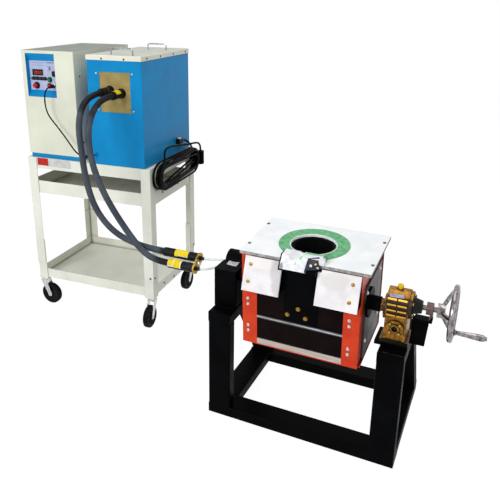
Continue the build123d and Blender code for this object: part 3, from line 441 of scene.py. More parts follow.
# Turned brass: warm and bright, with brown painted shade in its corners.
brass = finish("clamp_brass", "#cfae57", "#8a6b28", 0.008, (0.28, 0.45), 0.002, 0.0001, metal=1.0,
               corner_shade="#3a2a10")
finish_node("cable_coupler", shrink, (brass, lambda at, facing: (at * 1000 - far_a) @ far_way > 0.05))
# Vinyl label: flat clear yellow, on a white one a little wider.
tape = finish("yellow_phase_tape", "#f4d90f", "#e2c008", 0.02, (0.35, 0.5))
white_tape = finish("white_label_edge", "#f1efe4", "#dcd9cc", 0.02, (0.4, 0.55))
# Zinc plate on steel: cool bright grey, clouded.
steel = finish("zinc_plated_steel", "#dddcdb", "#a3a2a2", 0.006, (0.22, 0.4), metal=1.0)
label_side = np.array([-0.35, -0.55, 0.76])
# each label: its sleeve's beginning, the distance from there, radius, width, half its sweep, material
labels = [wrap_label(begin + far_way * along, far_way, radius, wide, label_side, half, number)
          for begin, along, radius, wide, half, number in (
              (begin_a, 50, 17, 15, 60, 0), (begin_a, 69, 17, 36, 48, 0), (begin_b, 3, 17, 20, 55, 0),
              (begin_b, 26, 17, 27, 66, 0), (begin_a, 66, 16.9, 40, 54, 1), (begin_b, 1, 16.9, 56, 70, 1))]
piece("sleeve_phase_labels", labels, tape, "base", also=[white_tape])
clamp_nut = heads([((hose_from_a + hose_from_b) / 2, far_way)], 13, 6, 9)
piece("clamp_nut", clamp_nut, steel, "base")
# Stubs with a barbed tail under black shrink tube carry each clear hose.
barb = [(4.6, -0.5), (8, -0.5), (8, 4), (5.6, 4.5), (5.6, 9), (6.4, 9.2), (5.6, 13), (6.4, 13.2), (4.9, 17),
        (4.6, 17), (4.6, -0.5)]
barbs = [revolve(barb, start, far_way, 20) for start in (hose_from_a, hose_from_b)]
piece("hose_tails", barbs, shrink, "base")

# ---- Exit boots and cable glands
# Moulded rubber boots push over the cable exits on the feed panel; small
# glands hold the signal cord and the mains lead; labels mark the boots.

# Moulded rubber: soft black with a faint sheen.
boot_rubber = finish("moulded_boot_rubber", "#141518", "#08090a", 0.04, (0.35, 0.5), 0.003, 0.0002)
# Stoved enamel on sheet steel: a clean even blue with a low shine.
blue = finish("blue_enamel", "#048dcb", "#0280bd", 0.15, (0.32, 0.45), 0.0015, 0.00005)
# the signal cord's gland, low on the box's front, is enamelled with the box
finish_node("cable_boots", boot_rubber, (blue, lambda at, facing: (at[:, 2] < 0.8) & (at[:, 1] < 0.05)))
# Woven glass tape: matt brown and a little rough.
brown_tape = finish("brown_glass_tape", "#6b5132", "#4c3823", 0.006, (0.5, 0.7), 0.002, 0.0002)
into_box = np.array([0.0, 1, 0])
boot_labels = [wrap_label([491, -55, 1028], into_box, 17, 34, np.array([0.05, 0, 0.95]), 70),
               wrap_label([438, -30, 1037], into_box, 17, 7, np.array([-0.3, -0.1, 0.95]), 110, 1)]
piece("boot_phase_labels", boot_labels, tape, "base", place=on_cart, also=[brown_tape])
seat_ring = [(17, 2), (20, 2), (20.5, 3), (20.5, 6), (19.5, 7.2), (17, 7.2), (17, 2)]
mouth_ring = [(12, -62.6), (15.4, -62.6), (16.2, -61), (17.2, -58), (17.2, -52), (16.6, -51), (16.6, -62),
              (12, -62.6)]
collars = [revolve(ring, (x, 0, z), into_box, 32) for x, z in ((438, 1037), (491, 1028))
           for ring in (seat_ring, mouth_ring)]
piece("boot_collars", collars, boot_rubber, "base", place=on_cart)
tapered = [(4.6, -0.5), (10.5, -0.5), (10.5, 4), (9, 5), (9, 8), (7.6, 9), (7.4, 13), (6.6, 14), (6.5, 18),
           (5.9, 19), (5.7, 24), (5.1, 25), (4.9, 30), (4.6, 30), (4.6, -0.5)]
piece("mains_strain_relief", [revolve(tapered, (597, 330, 775), into_box, 24)], boot_rubber, "base",
      place=on_cart)
# Moulded nylon: warm off-white, faintly waxy.
nylon = finish("natural_nylon", "#e7e4d8", "#cfcbbd", 0.01, (0.3, 0.45))
gland_nuts = heads([((597, 316, 787), (0, 0, 1))], 15, 5) + heads([((590, 345, 764), (1, 0, 0))], 11, 5)
piece("gland_lock_nuts", gland_nuts, nylon, "base", place=on_cart)

# ---- Mains plug
# A rewirable plug moulded in the same black PVC as its cable; it hangs from the
# cable's tail at the rear end of the hank.
finish_node("mains_plug", black_pvc)

# ---- The tilting stand
# Welded rectangular tube in satin black paint; bare primer shows along a few
# worn edges, and a strip of foil tape lies on the left pedestal.

# Brushed satin paint: deep black that hardly shines. Rubbed primer: beige and chalky.
black_paint = finish("satin_black_paint", "#07080a", "#030304", 0.09, (0.36, 0.55), 0.0035, 0.0002,
                     gloss=0.02)
primer = finish("worn_beige_primer", "#9c9184", "#3b352f", 0.006, (0.5, 0.75), 0.002, 0.0003)
for name in ("stand_base", "stand_left", "stand_right", "feed_housing"):
    finish_node(name, black_paint)
# Unpainted casting: brown grey and rough, half dull.
bare_block = finish("bare_bearing_block", "#6b5450", "#4a3936", 0.008, (0.4, 0.6), 0.002, 0.0002, metal=0.3)
finish_node("shaft_bracket", black_paint,
            (bare_block, lambda at, facing: (at[:, 0] > 0.8125) & (at[:, 2] > 0.505)))


def on_stand(points):
    """Points given in mm from the stand's front left corner on the floor, as metres in the shared frame."""
    return (np.asarray(points, float) + [137.4, -411.8, 0]) / 1000


def strip(points, across, wide, raised):
    """A ragged strip of film laid along a line of points, from -w to +w along `across` and a hair
    proud, closed by a skirt under it: w(u) = wide / 2 * (0.8 + 0.2 sin(5 u + 1) + 0.08 sin(37 u))."""
    points = np.asarray(points, float)
    u = np.linspace(0, 1, 40)
    run = np.stack([np.interp(u, np.linspace(0, 1, len(points)), points[:, k]) for k in range(3)], -1)
    w = wide / 2 * (0.8 + 0.2 * np.sin(5 * u + 1) + 0.08 * np.sin(37 * u))
    across = np.asarray(across, float)
    raised = np.asarray(raised, float)
    rows = np.stack([run - across * w[:, None] - raised, run - across * w[:, None] + raised,
                     run + across * w[:, None] + raised, run + across * w[:, None] - raised], 1)
    return surface(rows)


def slab(corners, thick):
    """A thin prism on a flat outline: the corners, and the corners moved by `thick` along their normal."""
    corners = np.asarray(corners, float)
    normal = np.cross(corners[1] - corners[0], corners[2] - corners[0])
    normal = normal / np.linalg.norm(normal)
    return surface(np.array([corners, corners + normal * thick]))


# Aluminium foil tape: crinkled, bright in places and grey in others.
foil = finish("aluminium_foil_tape", "#dfe1e6", "#9da1a8", 0.01, (0.25, 0.45), 0.003, 0.0006, metal=0.5)
torn = [(24, 90, 537), (61, 87, 537), (58, 122, 537), (44, 118, 537), (20, 121, 537)]
piece("foil_tape", [slab(torn, 0.4)], foil, "base", place=on_stand)
worn = [strip([(638.2, 1.8, 96), (638.2, 1.8, 210), (638.2, 1.8, 356)], (0.5, 0.5, 0), 1.4,
              (0.12, -0.12, 0)),
        strip([(638.4, 30, 398.4), (638.4, 120, 398.4), (638.4, 236, 398.4)], (0.5, 0, -0.5), 1.2,
              (0.1, 0, 0.1)),
        strip([(635, 3, 399.9), (600, 3, 399.9), (575, 3, 399.9)], (0, 0.7, 0), 1.0, (0, -0.05, 0.12))]
piece("worn_edges", worn, primer, "base", place=on_stand)


def bead(points, size):
    """A weld bead along a line, half sunk in its joint: round, with the radius size * (1 + 0.16 *
    cos(w s)), one ripple every 5 mm, so that it reads as a row of small scales."""
    points = np.asarray(points, float)
    reach = np.linalg.norm(points[1] - points[0])
    d = (points[1] - points[0]) / reach
    b, c, _ = square_to(d)
    s = np.linspace(0, reach, max(8, int(reach / 1.6)))
    r = size * (1 + 0.16 * np.cos(s * 2 * pi / 5)) * np.clip(np.minimum(s, reach - s) / 2, 0.05, 1)
    t = np.linspace(0, 2 * pi, 10, endpoint=False)
    ring = np.cos(t)[:, None] * b + np.sin(t)[:, None] * c
    return surface(points[0] + s[:, None, None] * d + r[:, None, None] * ring)


# across the foot and the head of each front post, and round the left pedestal
beads = []
for x in (0, 560):
    beads.append(bead([(x + 4, 0.5, 40), (x + 76, 0.5, 40)], 1.8))
    beads.append(bead([(x + 4, 0.5, 360), (x + 76, 0.5, 360)], 1.8))
for y in (44, 124):
    beads.append(bead([(5, y, 400), (75, y, 400)], 2.0))
beads.append(bead([(80, 49, 400), (80, 119, 400)], 2.0))
piece("weld_beads", beads, black_paint, "base", place=on_stand)

# ---- Worm gearbox
# Cast housing in gold hammer paint, with painted shade in its corners, between its
# ribs and in its cap's hollow and a painted highlight on the rib crests; a black foot,
# a yellow plastic filler plug, a bare rating plate and a black carrier.

# Hammer paint on a casting: glossy dimpled gold, with black painted shade in its corners.
hammer = finish("gold_hammer_paint", "#ab791b", "#5f3b10", 0.012, (0.2, 0.42), 0.003, 0.0004, metal=0.7,
                corner_shade="#140a05")
# Black with a greasy shine: painted shade in the cap's hollow, and the whole foot painted black.
hollow = finish("cap_hollow_painted_shade", "#15100b", "#080706", 0.01, (0.3, 0.5))
foot_black = finish("black_gearbox_foot", "#14110e", "#080706", 0.02, (0.3, 0.5), 0.003, 0.0003)
# The ribs' crests in a clear bright gold, a painted highlight, and dark brown painted shade between them.
rib_crest_highlight = finish("gold_ridge_painted_highlight", "#e6b233", "#c9912a", 0.05, (0.25, 0.4), metal=0.5)
rib_gap_shade = finish("hammer_paint_painted_shade", "#3a1f0b", "#1e0f05", 0.01, (0.3, 0.5), 0.003, 0.0004, metal=0.5)


def crown_height(at):
    """How far each point stands off the crown in mm: below z 537 the front is the plane y 44, above
    it the crown is a round of radius 40 about (y 84, z 537), all from the stand's corner."""
    y, z = at[:, 1] * 1000 + 411.8, at[:, 2] * 1000
    return np.where(z < 537, 44 - y, np.hypot(y - 84, z - 537) - 40), y, z


def on_rib(at, facing):
    """The crests of the eight ribs cast across the front of the crown, which take the painted highlight."""
    proud, y, z = crown_height(at)
    return (proud > 4.2) & (y < 52) & (z > 502) & (z < 562) & (np.abs(facing[:, 0]) < 0.5)


def between_ribs(at, facing):
    """The paint between those ribs, which takes the painted shade."""
    proud, y, z = crown_height(at)
    return (proud <= 4.2) & (y < 55) & (z > 501) & (z < 562)


def in_cap(at, facing):
    """The hollow of the front cover's cap, which takes the painted shade: within 9.2 mm of its axis and set
    back from its rim.
    """
    return (np.hypot(at[:, 0] * 1000 - 735.4, at[:, 2] * 1000 - 465) < 9.2) & (at[:, 1] < -0.3668)


# painted shade between the ribs and in the cap's hollow, painted highlight on the rib crests
finish_node("gearbox_housing", hammer, (rib_gap_shade, between_ribs), (rib_crest_highlight, on_rib),
            (foot_black, lambda at, facing: at[:, 2] < 0.4235), (hollow, in_cap))
# Moulded plastic: plain bright yellow, smooth.
yellow_cap = finish("yellow_plastic_plug", "#f2cf1c", "#d9ab0c", 0.01, (0.25, 0.4))
finish_node("gearbox_plug", yellow_cap)
# Cast iron in thin black paint: dark and finely pebbled.
cast_black = finish("black_cast_iron", "#17181b", "#08090a", 0.01, (0.35, 0.55), 0.002, 0.0004)
finish_node("input_carrier", cast_black)
# four bolts through the foot, six round the input flange and four in the front cover
cover_bolts = [((x, y, 424), (0, 0, 1)) for y in (46.56, 121.44) for x in (570, 624)]
for turn in range(6):
    t = radians(30 + 60 * turn)
    cover_bolts.append(((639, 84 + 34 * cos(t), 530 + 34 * sin(t)), (1, 0, 0)))
for turn in range(4):
    t = radians(45 + 90 * turn)
    cover_bolts.append(((598 + 19.5 * cos(t), 38, 465 + 19.5 * sin(t)), (0, -1, 0)))
piece("gearbox_bolts", heads(cover_bolts, 8, 4.5), brass, "base", place=on_stand)


def plate(centre, right, up, wide, high, thick, corner=1.5, number=0, edge=0.3):
    """A flat plate with round corners: rings k of a rounded rectangle, p(k, t) = centre + x(t) * right
    + y(t) * up + level_k * normal, where each ring is drawn in by inset_k at the bevelled rim."""
    right = np.asarray(right, float) / np.linalg.norm(right)
    normal = np.cross(right, np.asarray(up, float))
    normal = normal / np.linalg.norm(normal)
    up = np.cross(normal, right)
    t = np.linspace(0, 2 * pi, 24, endpoint=False) + pi / 24
    rings = []
    for inset, level in ((0, 0), (0, thick - edge), (edge, thick)):
        x = np.sign(np.cos(t)) * (wide / 2 - corner) + (corner - inset) * np.cos(t)
        y = np.sign(np.sin(t)) * (high / 2 - corner) + (corner - inset) * np.sin(t)
        rings.append(np.asarray(centre, float) + x[:, None] * right + y[:, None] * up + level * normal)
    return *surface(np.array(rings)), number


# Anodised aluminium sheet, left blank: satin lilac grey.
bare_plate = finish("bare_anodised_plate", "#a9a4bd", "#77728e", 0.006, (0.3, 0.45), metal=0.3)
piece("gearbox_plate", [plate((594, 54.2, 564.2), (1, 0, 0.04), (0, 0.7, 0.71), 42, 12, 0.9)], bare_plate,
      "base", place=on_stand)

# ---- Hand wheel, shaft and grip
# Chromed three-spoke wheel on a plain steel shaft that runs in the outrigger's
# bearing block, with a turning grip on the rim.

# Chrome plate: a warm grey mirror, with painted shade where spokes meet the rim.
chrome = finish("polished_chrome", "#a39d9e", "#5a5455", 0.012, (0.08, 0.18), metal=1.0, corner_shade="#1c1918")
# Turned steel under oil: dark, brownish and still shiny.
shaft_steel = finish("dark_steel_shaft", "#7b736e", "#453c38", 0.01, (0.25, 0.4), metal=1.0)
finish_node("hand_wheel", chrome)
finish_node("handle_grip", chrome)
finish_node("input_shaft", shaft_steel)

# ---- Furnace body
# A square box of fireproof boards in a frame of red-painted steel angles, with
# plain aluminium strips across the front and grey sheet plates on both sides.

# at rest the furnace leans this far to its pouring side
tilt = radians(3.4)


def on_furnace(points):
    """Points given in mm from the tilt axis, in the furnace's own level, as metres in the shared frame:
    turned about X by the rest tilt and set at the axis."""
    x, y, z = np.asarray(points, float).T
    return np.stack([x + 137.4, y * cos(tilt) - z * sin(tilt) - 327.8,
                     y * sin(tilt) + z * cos(tilt) + 512], -1) / 1000


# Enamel brushed on steel angle: strong orange red, with brown painted shade in its corners.
red_paint = finish("orange_red_enamel", "#d6421f", "#c23316", 0.07, (0.28, 0.42), 0.004, 0.0002,
                   corner_shade="#6b1a0e")
finish_node("furnace_frame", red_paint)
# Pressed phenolic board: brown black and smooth, with a low shine.
brown_board = finish("brown_phenolic_board", "#150b0c", "#0c0606", 0.05, (0.3, 0.45), 0.003, 0.0002,
                     gloss=0.03)
finish_node("body_boards", brown_board)
# Painted sheet: flat dark grey, slightly clouded.
grey_sheet = finish("grey_sheet_plate", "#4f4b4c", "#3a3637", 0.05, (0.35, 0.5))
finish_node("side_plates", grey_sheet)
# Rolled aluminium: silver streaked along its length, darker along both edges of the upper strip, with dust
# low down.
strip_metal = finish("aluminium_strip", "#cfd1d6", "#8e9096", 0.004, (0.28, 0.42), metal=0.85,
                     stretch=(0.06, 1, 1))
for height, reach, colour, most in ((-84, 3.6, "#3f3a39", 0.9), (-95, 3.6, "#3f3a39", 0.9),
                                    (-180, 8, "#c0ae97", 0.7)):
    stain(strip_metal, on_furnace([(312, -82, height)])[0], (0.5, 0.03, reach / 1000), colour, most)
finish_node("front_strips", strip_metal)
# Refractory board: clean chalky white on its face, grey and crumbly where it is cut.
white_board = finish("white_refractory_board", "#f6f8f9", "#eaedef", 0.08, (0.45, 0.6), 0.002, 0.0001)
board_edge = finish("refractory_board_edge", "#b9b6b5", "#858180", 0.01, (0.7, 0.85), 0.002, 0.0005)
finish_node("top_board", white_board, (board_edge, lambda at, facing: np.abs(facing[:, 2]) < 0.5))
zinc_pairs = [((x, -81, z + dz), (0, -1, 0)) for x in (141, 471) for z in (-41, -141) for dz in (-10, 10)]
piece("frame_bolts", heads(zinc_pairs, 8, 4, 5.5), steel, "furnace", place=on_furnace)
side_bolts = [((x, y, z), (way, 0, 0)) for x, way in ((116, -1), (508, 1))
              for y, z in ((-30, 45), (-24, -125), (142, -120), (142, 45))]
piece("side_plate_bolts", heads(side_bolts, 10, 5, 8), steel, "furnace", place=on_furnace)
board_screws = heads([((x, y, 136), (0, 0, 1)) for x in (123, 517) for y in (-23, 143)], 10, 2.6, around=20)
piece("board_screws", board_screws, shaft_steel, "furnace", place=on_furnace)
# the frame's rear and lower edges, where they show past the right side plate
edges = [slab([(501.8, 198, -194), (501.8, 204, -194), (501.8, 204, 125), (501.8, 198, 125)], 7.0),
         slab([(501.8, -70, -196), (501.8, 204, -196), (501.8, 204, -190), (501.8, -70, -190)], 6.9)]
piece("side_angle_edges", edges, red_paint, "furnace", place=on_furnace)

# ---- Furnace lining, crucible and spout
# Green high-alumina cement trowelled round the mouth, a dark clay-graphite
# crucible rammed in white castable, and a white cast spout with a groove.

# Trowelled cement: pale green, mottled and gritty, without shine.
green = finish("green_lining_cement", "#7dc08f", "#589a6b", 0.014, (0.75, 0.9), 0.004, 0.001)
finish_node("lining_ring", green)
# Fired clay and graphite: sooty black, quite matt.
pot_dark = finish("clay_graphite_crucible", "#0c0b0c", "#060505", 0.02, (0.7, 0.85), 0.003, 0.0005,
                  gloss=0.04)
finish_node("crucible", pot_dark)
# Cast cement: white, dry and finely pitted.
castable = finish("white_castable", "#f1f3f4", "#dfe3e6", 0.03, (0.75, 0.92), 0.005, 0.0004)
finish_node("packing", castable)
# a thin lip of the white castable shows between the green ring and the pot
lip = [(74, 128), (71.8, 128), (71.8, 136.5), (72.6, 138.4), (74.6, 138.9), (75.2, 138), (74, 136), (74, 128)]
piece("castable_lip", [revolve(lip, (315, 44, 0), (0, 0, 1), 72)], castable, "furnace",
      place=on_furnace)
# The same casting with green cement smeared on it and a grey mark down the spout's left end; each mark's
# place, reach and colour.
stained = finish("stained_castable", "#f1f3f4", "#dadee2", 0.012, (0.75, 0.92), 0.005, 0.0004)
tint_spots = (((340, -52, 154), (44, 7, 8), "#6fb583"), ((316, -96, 152), (5, 22, 6), "#8fcf9f"),
          ((303, -104, 140), (4, 8, 9), "#8fcf9f"), ((384, -50, 148), (9, 24, 12), "#3f7a54"),
          ((262, -112, 128), (7, 10, 22), "#8a8d92"))
for spot, reach, colour in tint_spots:
    stain(stained, on_furnace([spot])[0], np.array(reach) / 1000, colour, 0.9)
# Paint on the spout's steel cheek: smooth slate grey.
slate = finish("slate_grey_plate", "#394150", "#272d38", 0.02, (0.35, 0.5))


def from_axis(at):
    """Face middles in mm from the tilt axis, in the furnace's own level: on_furnace turned back."""
    y, z = at[:, 1] * 1000 + 327.8, at[:, 2] * 1000 - 512
    return at[:, 0] * 1000 - 137.4, y * cos(tilt) + z * sin(tilt), z * cos(tilt) - y * sin(tilt)


def beside_pour(at, facing):
    """The front of the spout's right end, which is coated like the steel cheek beside it."""
    x, y, z = from_axis(at)
    return (x > 336) & (y < -84.6) & (facing[:, 1] < -0.3)


def on_cheek(at, facing):
    """The steel cheek's outer face, picked by the way it faces."""
    return (facing @ [0.35, -0.82, 0.45] > 0.93) & (at[:, 0] > 0.467)


finish_node("spout", stained, (slate, beside_pour))
finish_node("spout_bracket", black_paint, (slate, on_cheek))
lean_out = (0, -0.83, 0.56)
cheek_nuts = heads([((351.1, -95.5, 135.5), lean_out)], 8, 3.5)
cheek_nuts += heads([((369.8, -91.1, 129.7), (0, -1, 0))], 8, 1.2, around=20)
piece("cheek_nut", cheek_nuts, nylon, "furnace", place=on_furnace)
piece("cheek_bolt", heads([((364.5, -90.1, 140.7), lean_out)], 8, 3), brass, "furnace",
      place=on_furnace)

# ---- Splash guards and trunnions
# Two white boards slope down and out beside the spout, each held by brass
# screws; flanged shafts in black paint carry the furnace on both sides.
finish_node("trunnion_left", black_paint)
finish_node("trunnion_right", black_paint)
# White board: clean in the main, warmer in two soft patches and greyer in two, the darker one beside the
# spout.
guard_paint = finish("white_guard_board", "#eeecef", "#dfdce0", 0.05, (0.4, 0.6), 0.003, 0.0002)
tint_spots = (((180, -92, 110), (50, 30, 16), "#f4efe9"), ((252, -104, 80), (26, 40, 80), "#aeabad"),
          ((420, -96, 100), (46, 24, 30), "#d3cfca"), ((486, -120, 40), (20, 20, 50), "#f6f3ee"))
for spot, reach, colour in tint_spots:
    stain(guard_paint, on_furnace([spot])[0], np.array(reach) / 1000, colour, 0.5)
finish_node("splash_guards", guard_paint)
lean = (0.0, -cos(radians(21.17)), sin(radians(21.17)))
# the guards fall from y -87.5 at z 126, and stand 0.3873 further out for each 1 down
guard_screws = [((x, -87.5 - (126 - z) * 0.3873, z), lean)
                for x, z in ((158.9, 103), (156.8, 52.7), (478.6, 101.3), (474.6, 51.3))]
spout_bolts = [((x, -81, z), (0, -1, 0)) for x, z in ((310, -31), (275, -58), (334, -59))]
# Tarnished brass: dull gold with brown patches.
old_brass = finish("tarnished_brass", "#b08a3c", "#6b4d1c", 0.004, (0.3, 0.5), metal=0.8)
guard_heads = heads(guard_screws, 11, 2.0, around=20) + heads(spout_bolts, 12, 4, 7.5)
piece("guard_screws", guard_heads, old_brass, "furnace", place=on_furnace)

# ---- The steel cart
# Folded sheet trays bolted to angle legs, powder coated in cream; a red card and
# a silver one, both left blank, are stuck to the front of the deck.

# Powder coat: an even creamy white with a fine orange peel, with grey painted shade in its corners.
cream = finish("cream_powder_coat", "#e9ebe0", "#dfe1d5", 0.12, (0.35, 0.5), 0.0012, 0.00005,
               corner_shade="#a9aaa0")
for name in ("cart_deck", "cart_tray", "cart_legs_upper", "cart_legs_lower"):
    finish_node(name, cream)
# The same coat, greyer and dull: painted shade on the shelf's upward faces, under the deck.
shelf_top_shade = finish("shelf_painted_shade", "#c6c6b8", "#b0b0a2", 0.08, (0.5, 0.65))
# painted shade: the shelf's upward faces take the greyer coat
finish_node("cart_shelf", cream, (shelf_top_shade, lambda at, facing: facing[:, 2] > 0.9))
# Zinc gone dull: dark olive grey, hardly bright.
dark_zinc = finish("dull_zinc_bolt", "#5f5f58", "#36362f", 0.006, (0.35, 0.55), metal=0.8)
leg_bolts = [((596, -0.3, 228), (0, -1, 0))]
leg_bolts += [(spot, (1, 0, 0)) for spot in ((607.8, 114, 594), (607.8, 265, 592), (610.3, 14, 228),
                                             (605.3, 110, 162), (605.3, 212, 150), (610.3, 429, 228))]
piece("cart_bolts", heads(leg_bolts, 8, 3, around=20), dark_zinc, "base", place=on_cart)
# Plain card: flat red, and silver with a slight shine.
red_card = finish("red_card", "#c8302c", "#b02824", 0.02, (0.4, 0.55))
silver_card = finish("silver_card", "#cfd0cf", "#b9bbba", 0.02, (0.3, 0.45), metal=0.3)
piece("deck_plate", [plate((77, 2.5, 704), (1, 0, 0), (0, 0, 1), 57, 33, 0.6, 1.2),
                     plate((164, 2.5, 703), (1, 0, -0.012), (0, 0, 1), 114, 33, 0.6, 1.2, 1)],
      red_card, "base", place=on_cart, also=[silver_card])

# ---- Casters
# Plated steel forks that swivel on ball races; black rubber tyres on ribbed
# nylon centres, which turn on the forks' pins.

# Moulded rubber: black and dull. Moulded nylon: a shade lighter and smoother.
tyre_rubber = finish("black_tyre_rubber", "#111214", "#08090a", 0.012, (0.5, 0.7), 0.003, 0.0002, gloss=0.08)
hub_nylon = finish("black_nylon_hub", "#222326", "#131416", 0.012, (0.3, 0.45))
tread = [(34, -10), (38, -12), (46, -12), (49, -10), (50, -6.5), (50, 6.5), (49, 10), (46, 12), (38, 12),
         (34, 10), (34, -10)]
web = [(3.6, -13.4), (12, -13.4), (12.6, -9), (15, -5), (31, -4), (34.5, -10.4), (34.5, 10.4), (31, 4),
       (15, 5), (12.6, 9), (12, 13.4), (3.6, 13.4), (3.6, -13.4)]
wheel_high, trail_mm = 50.0, 30
# each corner's pivot on the cart in mm, and the way its fork trails in degrees
for corner, x, y, swing in (("front_left", 20, 20, -2), ("front_right", 590, 20, -88),
                            ("rear_right", 590, 423, -94), ("rear_left", 20, 423, -40)):
    finish_node("caster_fork_" + corner, steel)
    turn = radians(swing)
    trail = np.array([cos(turn), sin(turn), 0])
    axle = np.array([-sin(turn), cos(turn), 0])
    middle = np.array([x, y, wheel_high]) + trail * trail_mm
    ribs = []
    for number in range(8):
        t = radians(45 * number)
        reach = trail * cos(t) + np.array([0, 0, 1.0]) * sin(t)
        side = np.cross(axle, reach)
        ribs.append(plate(middle + reach * 23 - axle * 8.5, reach, side, 23, 2.2, 17, 0.9, 1))
    parts = [revolve(tread, middle, axle, 48), (*revolve(web, middle, axle, 40), 1), *ribs]
    rolled = piece("wheel_" + corner, parts, tyre_rubber, "wheel_" + corner,
                   place=on_cart, also=[hub_nylon])
    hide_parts("caster_wheel_" + corner)

# ---- The power cabinet
# Folded cream sheet cabinet on a blue base strip, with a funnel-shaped blue
# recess for the control panel.

# Sprayed enamel: an even greenish cream, with painted shade in its folds.
cabinet_cream = finish("cream_cabinet_enamel", "#e0e3d1", "#d5d8c6", 0.15, (0.4, 0.55), 0.0015, 0.00005,
                       corner_shade="#9a9c8e")
# Painted shade on the cabinet's top: flat grey.
cabinet_top_shade = finish("cabinet_top_painted_shade", "#969b92", "#7f857d", 0.06, (0.5, 0.7), 0.002, 0.0001)
# painted shade: the cabinet's upward faces take the flat grey
finish_node("cabinet_shell", cabinet_cream,
            (cabinet_top_shade, lambda at, facing: (facing[:, 2] > 0.9) & (at[:, 2] > 1.1)))
finish_node("base_frames", blue)
finish_node("control_recess", blue, (cabinet_cream, lambda at, facing: facing @ cart_axes[1] < -0.95))
side_screw = heads([((272.2, 42, 1082), (1, 0, 0)), ((272.2, 42, 800), (1, 0, 0))], 7, 1.6, around=20)
piece("cabinet_screws", side_screw, dark_zinc, "base", place=on_cart)

# ---- The control panel
# A printed panel screwed into the recess, with a display, a dial, two push
# switches, keys and a lever; its print is plain bars and the digits are plain.

# Printed film: flat pale lilac with a low shine.
lilac = finish("printed_panel_overlay", "#b6bfdf", "#aab3d4", 0.05, (0.3, 0.4))
finish_node("control_panel", lilac)
# Moulded ABS: satin black.
black_abs = finish("moulded_black_abs", "#16171a", "#0b0c0d", 0.01, (0.35, 0.5))
finish_node("panel_fittings", black_abs)
# Moulded caps: strong red and green, each with a soft highlight.
red_plastic = finish("red_plastic", "#c5242c", "#a61a20", 0.01, (0.2, 0.35))
green_plastic = finish("green_plastic", "#14804a", "#0e6038", 0.01, (0.2, 0.35))
finish_node("dial_knob", red_plastic)
finish_node("start_button", green_plastic)
finish_node("stop_button", red_plastic)
# Printing ink: flat slate grey, and a line of dark blue.
printed = finish("printed_grey_ink", "#6a7191", "#4c5274", 0.01, (0.35, 0.5))
title_ink = finish("dark_blue_ink", "#27406f", "#1d3260", 0.01, (0.35, 0.5))
# Smoked window: dark red and glassy. Lit segments: red that glows a little by itself.
smoked = finish("smoked_red_window", "#3b1014", "#240a0d", 0.01, (0.12, 0.2), coat=0.3)
digit = finish("lit_red_segment", "#ff4433", "#ff2a1c", 0.004, (0.3, 0.4))
digit["shader"].inputs["Emission Color"].default_value = linear("#ff3020")
digit["shader"].inputs["Emission Strength"].default_value = 0.3
# bars for print: two rows of five, three beside the lamps and a line under the title; then the keys' bed
right, up, front_face = (1, 0, 0), (0, 0, 1), 25
overlay = [plate((57 + 11 * column, front_face, low), right, up, 6, 2.2, 0.2, 0.6, 0, 0.05)
           for low in (1132, 1122) for column in range(5)]
overlay += [plate((128, front_face, z), right, up, 5, 1.8, 0.2, 0.6, 0, 0.05) for z in (1116, 1102, 1088)]
overlay.append(plate((144, front_face, 1134), right, up, 42, 2.6, 0.2, 0.6, 1, 0.05))
overlay.append(plate((82, front_face, 1066.5), right, up, 75, 15, 1.5, 5, 2))
piece("panel_print", overlay, printed, "base", place=on_cart, also=[title_ink, black_abs])
segments = [plate((78, 21, 1092.5), right, up, 44, 17, 0.3, 1, 0)]
# seven strokes make a digit: each one's place from the middle, and whether it lies flat
strokes = {"0": (0, 1, 2, 4, 5, 6), "8": range(7), "5": (0, 1, 3, 5, 6)}
spots = ((0, 5, 1), (-2.6, 2.5, 0), (2.6, 2.5, 0), (0, 0, 1), (-2.6, -2.5, 0), (2.6, -2.5, 0), (0, -5, 1))
for column, number in enumerate("0850"):
    for stroke in strokes[number]:
        dx, dz, flat = spots[stroke]
        segment_at = (64 + 9.4 * column + dx, 20.7, 1092.5 + dz)
        wide, high = (4.0, 1.0) if flat else (1.0, 4.0)
        segments.append(plate(segment_at, right, up, wide, high, 0.25, 0.4, 1, 0.05))
piece("panel_display", segments, smoked, "base", place=on_cart, also=[digit])
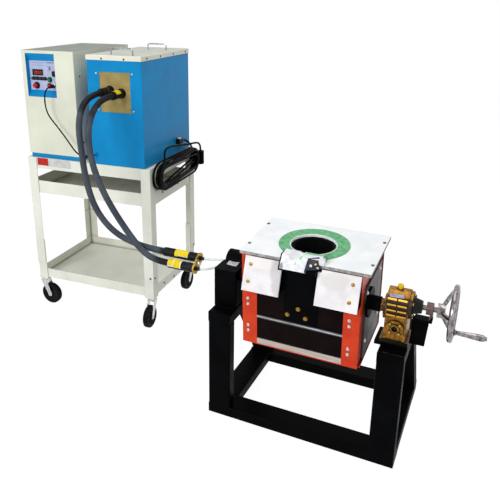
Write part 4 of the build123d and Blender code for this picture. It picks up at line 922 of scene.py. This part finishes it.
# four round keys, a toggle lever, a blank stud, and a ring round the dial and each switch
key = [(0, -0.4), (6, -0.4), (6, 0.6), (5, 1.2), (0, 1.2)]
fittings = [(*revolve(key, (x, 23, 1066), (0, -1, 0), 20), 2) for x in (46, 65, 84, 103)]
lever = [(0, 0), (5.5, 0), (5.5, 2), (3.5, 3), (3, 9), (2.4, 11), (0, 11.4)]
fittings.append((*revolve(lever, (135, 20, 1111), (0.2, -1, 0.3), 16), 0))
fittings.append((*revolve([(0, 0), (7, 0), (7, 5), (5, 6), (0, 6)], (158, 24, 1046), (0, -1, 0), 16), 0))
for x, z, r in ((66, 1037, 15), (135, 1064, 11), (132, 1038, 11)):
    ring = [(r - 2.6, 0), (r, 0), (r, 1.2), (r - 0.8, 1.8), (r - 2.6, 1.8), (r - 2.6, 0)]
    fittings.append((*revolve(ring, (x, front_face, z), (0, -1, 0), 32), 1))
# Moulded keys: matt dark grey.
key_grey = finish("dark_grey_key", "#3c3e48", "#2b2d36", 0.01, (0.4, 0.55))
piece("panel_keys", fittings, nylon, "base", place=on_cart, also=[black_abs, key_grey])

# ---- The transformer box
# Blue enamelled sheet box with a loose cream lid, two wire handles and a tan
# laminate panel behind the cable exits.
finish_node("box_shell", blue)
# Sprayed enamel: pale cream; on top, painted shade turns it grey.
lid_cream = finish("cream_lid_enamel", "#eae9d8", "#e0dfce", 0.15, (0.35, 0.5), 0.0015, 0.00005)
lid_top_shade = finish("lid_top_painted_shade", "#cbcfc4", "#b6bab0", 0.08, (0.5, 0.65), 0.002, 0.0001)
# painted shade: the lid's upward faces take the grey
finish_node("box_lid", lid_cream, (lid_top_shade, lambda at, facing: facing[:, 2] > 0.9))
# Plated wire: bright, mirror-like along its line.
bright_wire = finish("bright_wire", "#c9c9c7", "#8b8b89", 0.02, (0.12, 0.25), metal=1.0)
finish_node("lid_handles", bright_wire)
# Pressed laminate: plain tan. Sealant along its edge: dull orange.
tan = finish("tan_laminate", "#a8965e", "#948350", 0.03, (0.4, 0.55), 0.002, 0.0001)
orange_edge = finish("orange_sealant", "#c98a2c", "#a86a1e", 0.01, (0.5, 0.6))
finish_node("feed_panel", tan, (orange_edge, lambda at, facing: np.abs(facing @ cart_axes[1]) < 0.5))
box_screws = [((x, 5, z), (0, -1, 0)) for x, z in ((378, 1104), (543, 1106), (380, 957), (544, 958))]
lid_screws = [((x, 3, 1163), (0, -1, 0)) for x in (407, 510)]
lid_screws += [((588, y, 1165), (1, 0, 0)) for y in (50, 169, 289, 412)]
piece("box_screws", heads(box_screws, 7.5, 1.8, around=20), steel, "base", place=on_cart)
piece("lid_screws", heads(lid_screws, 8, 1.8, around=20), dark_zinc, "base", place=on_cart)

low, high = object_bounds()
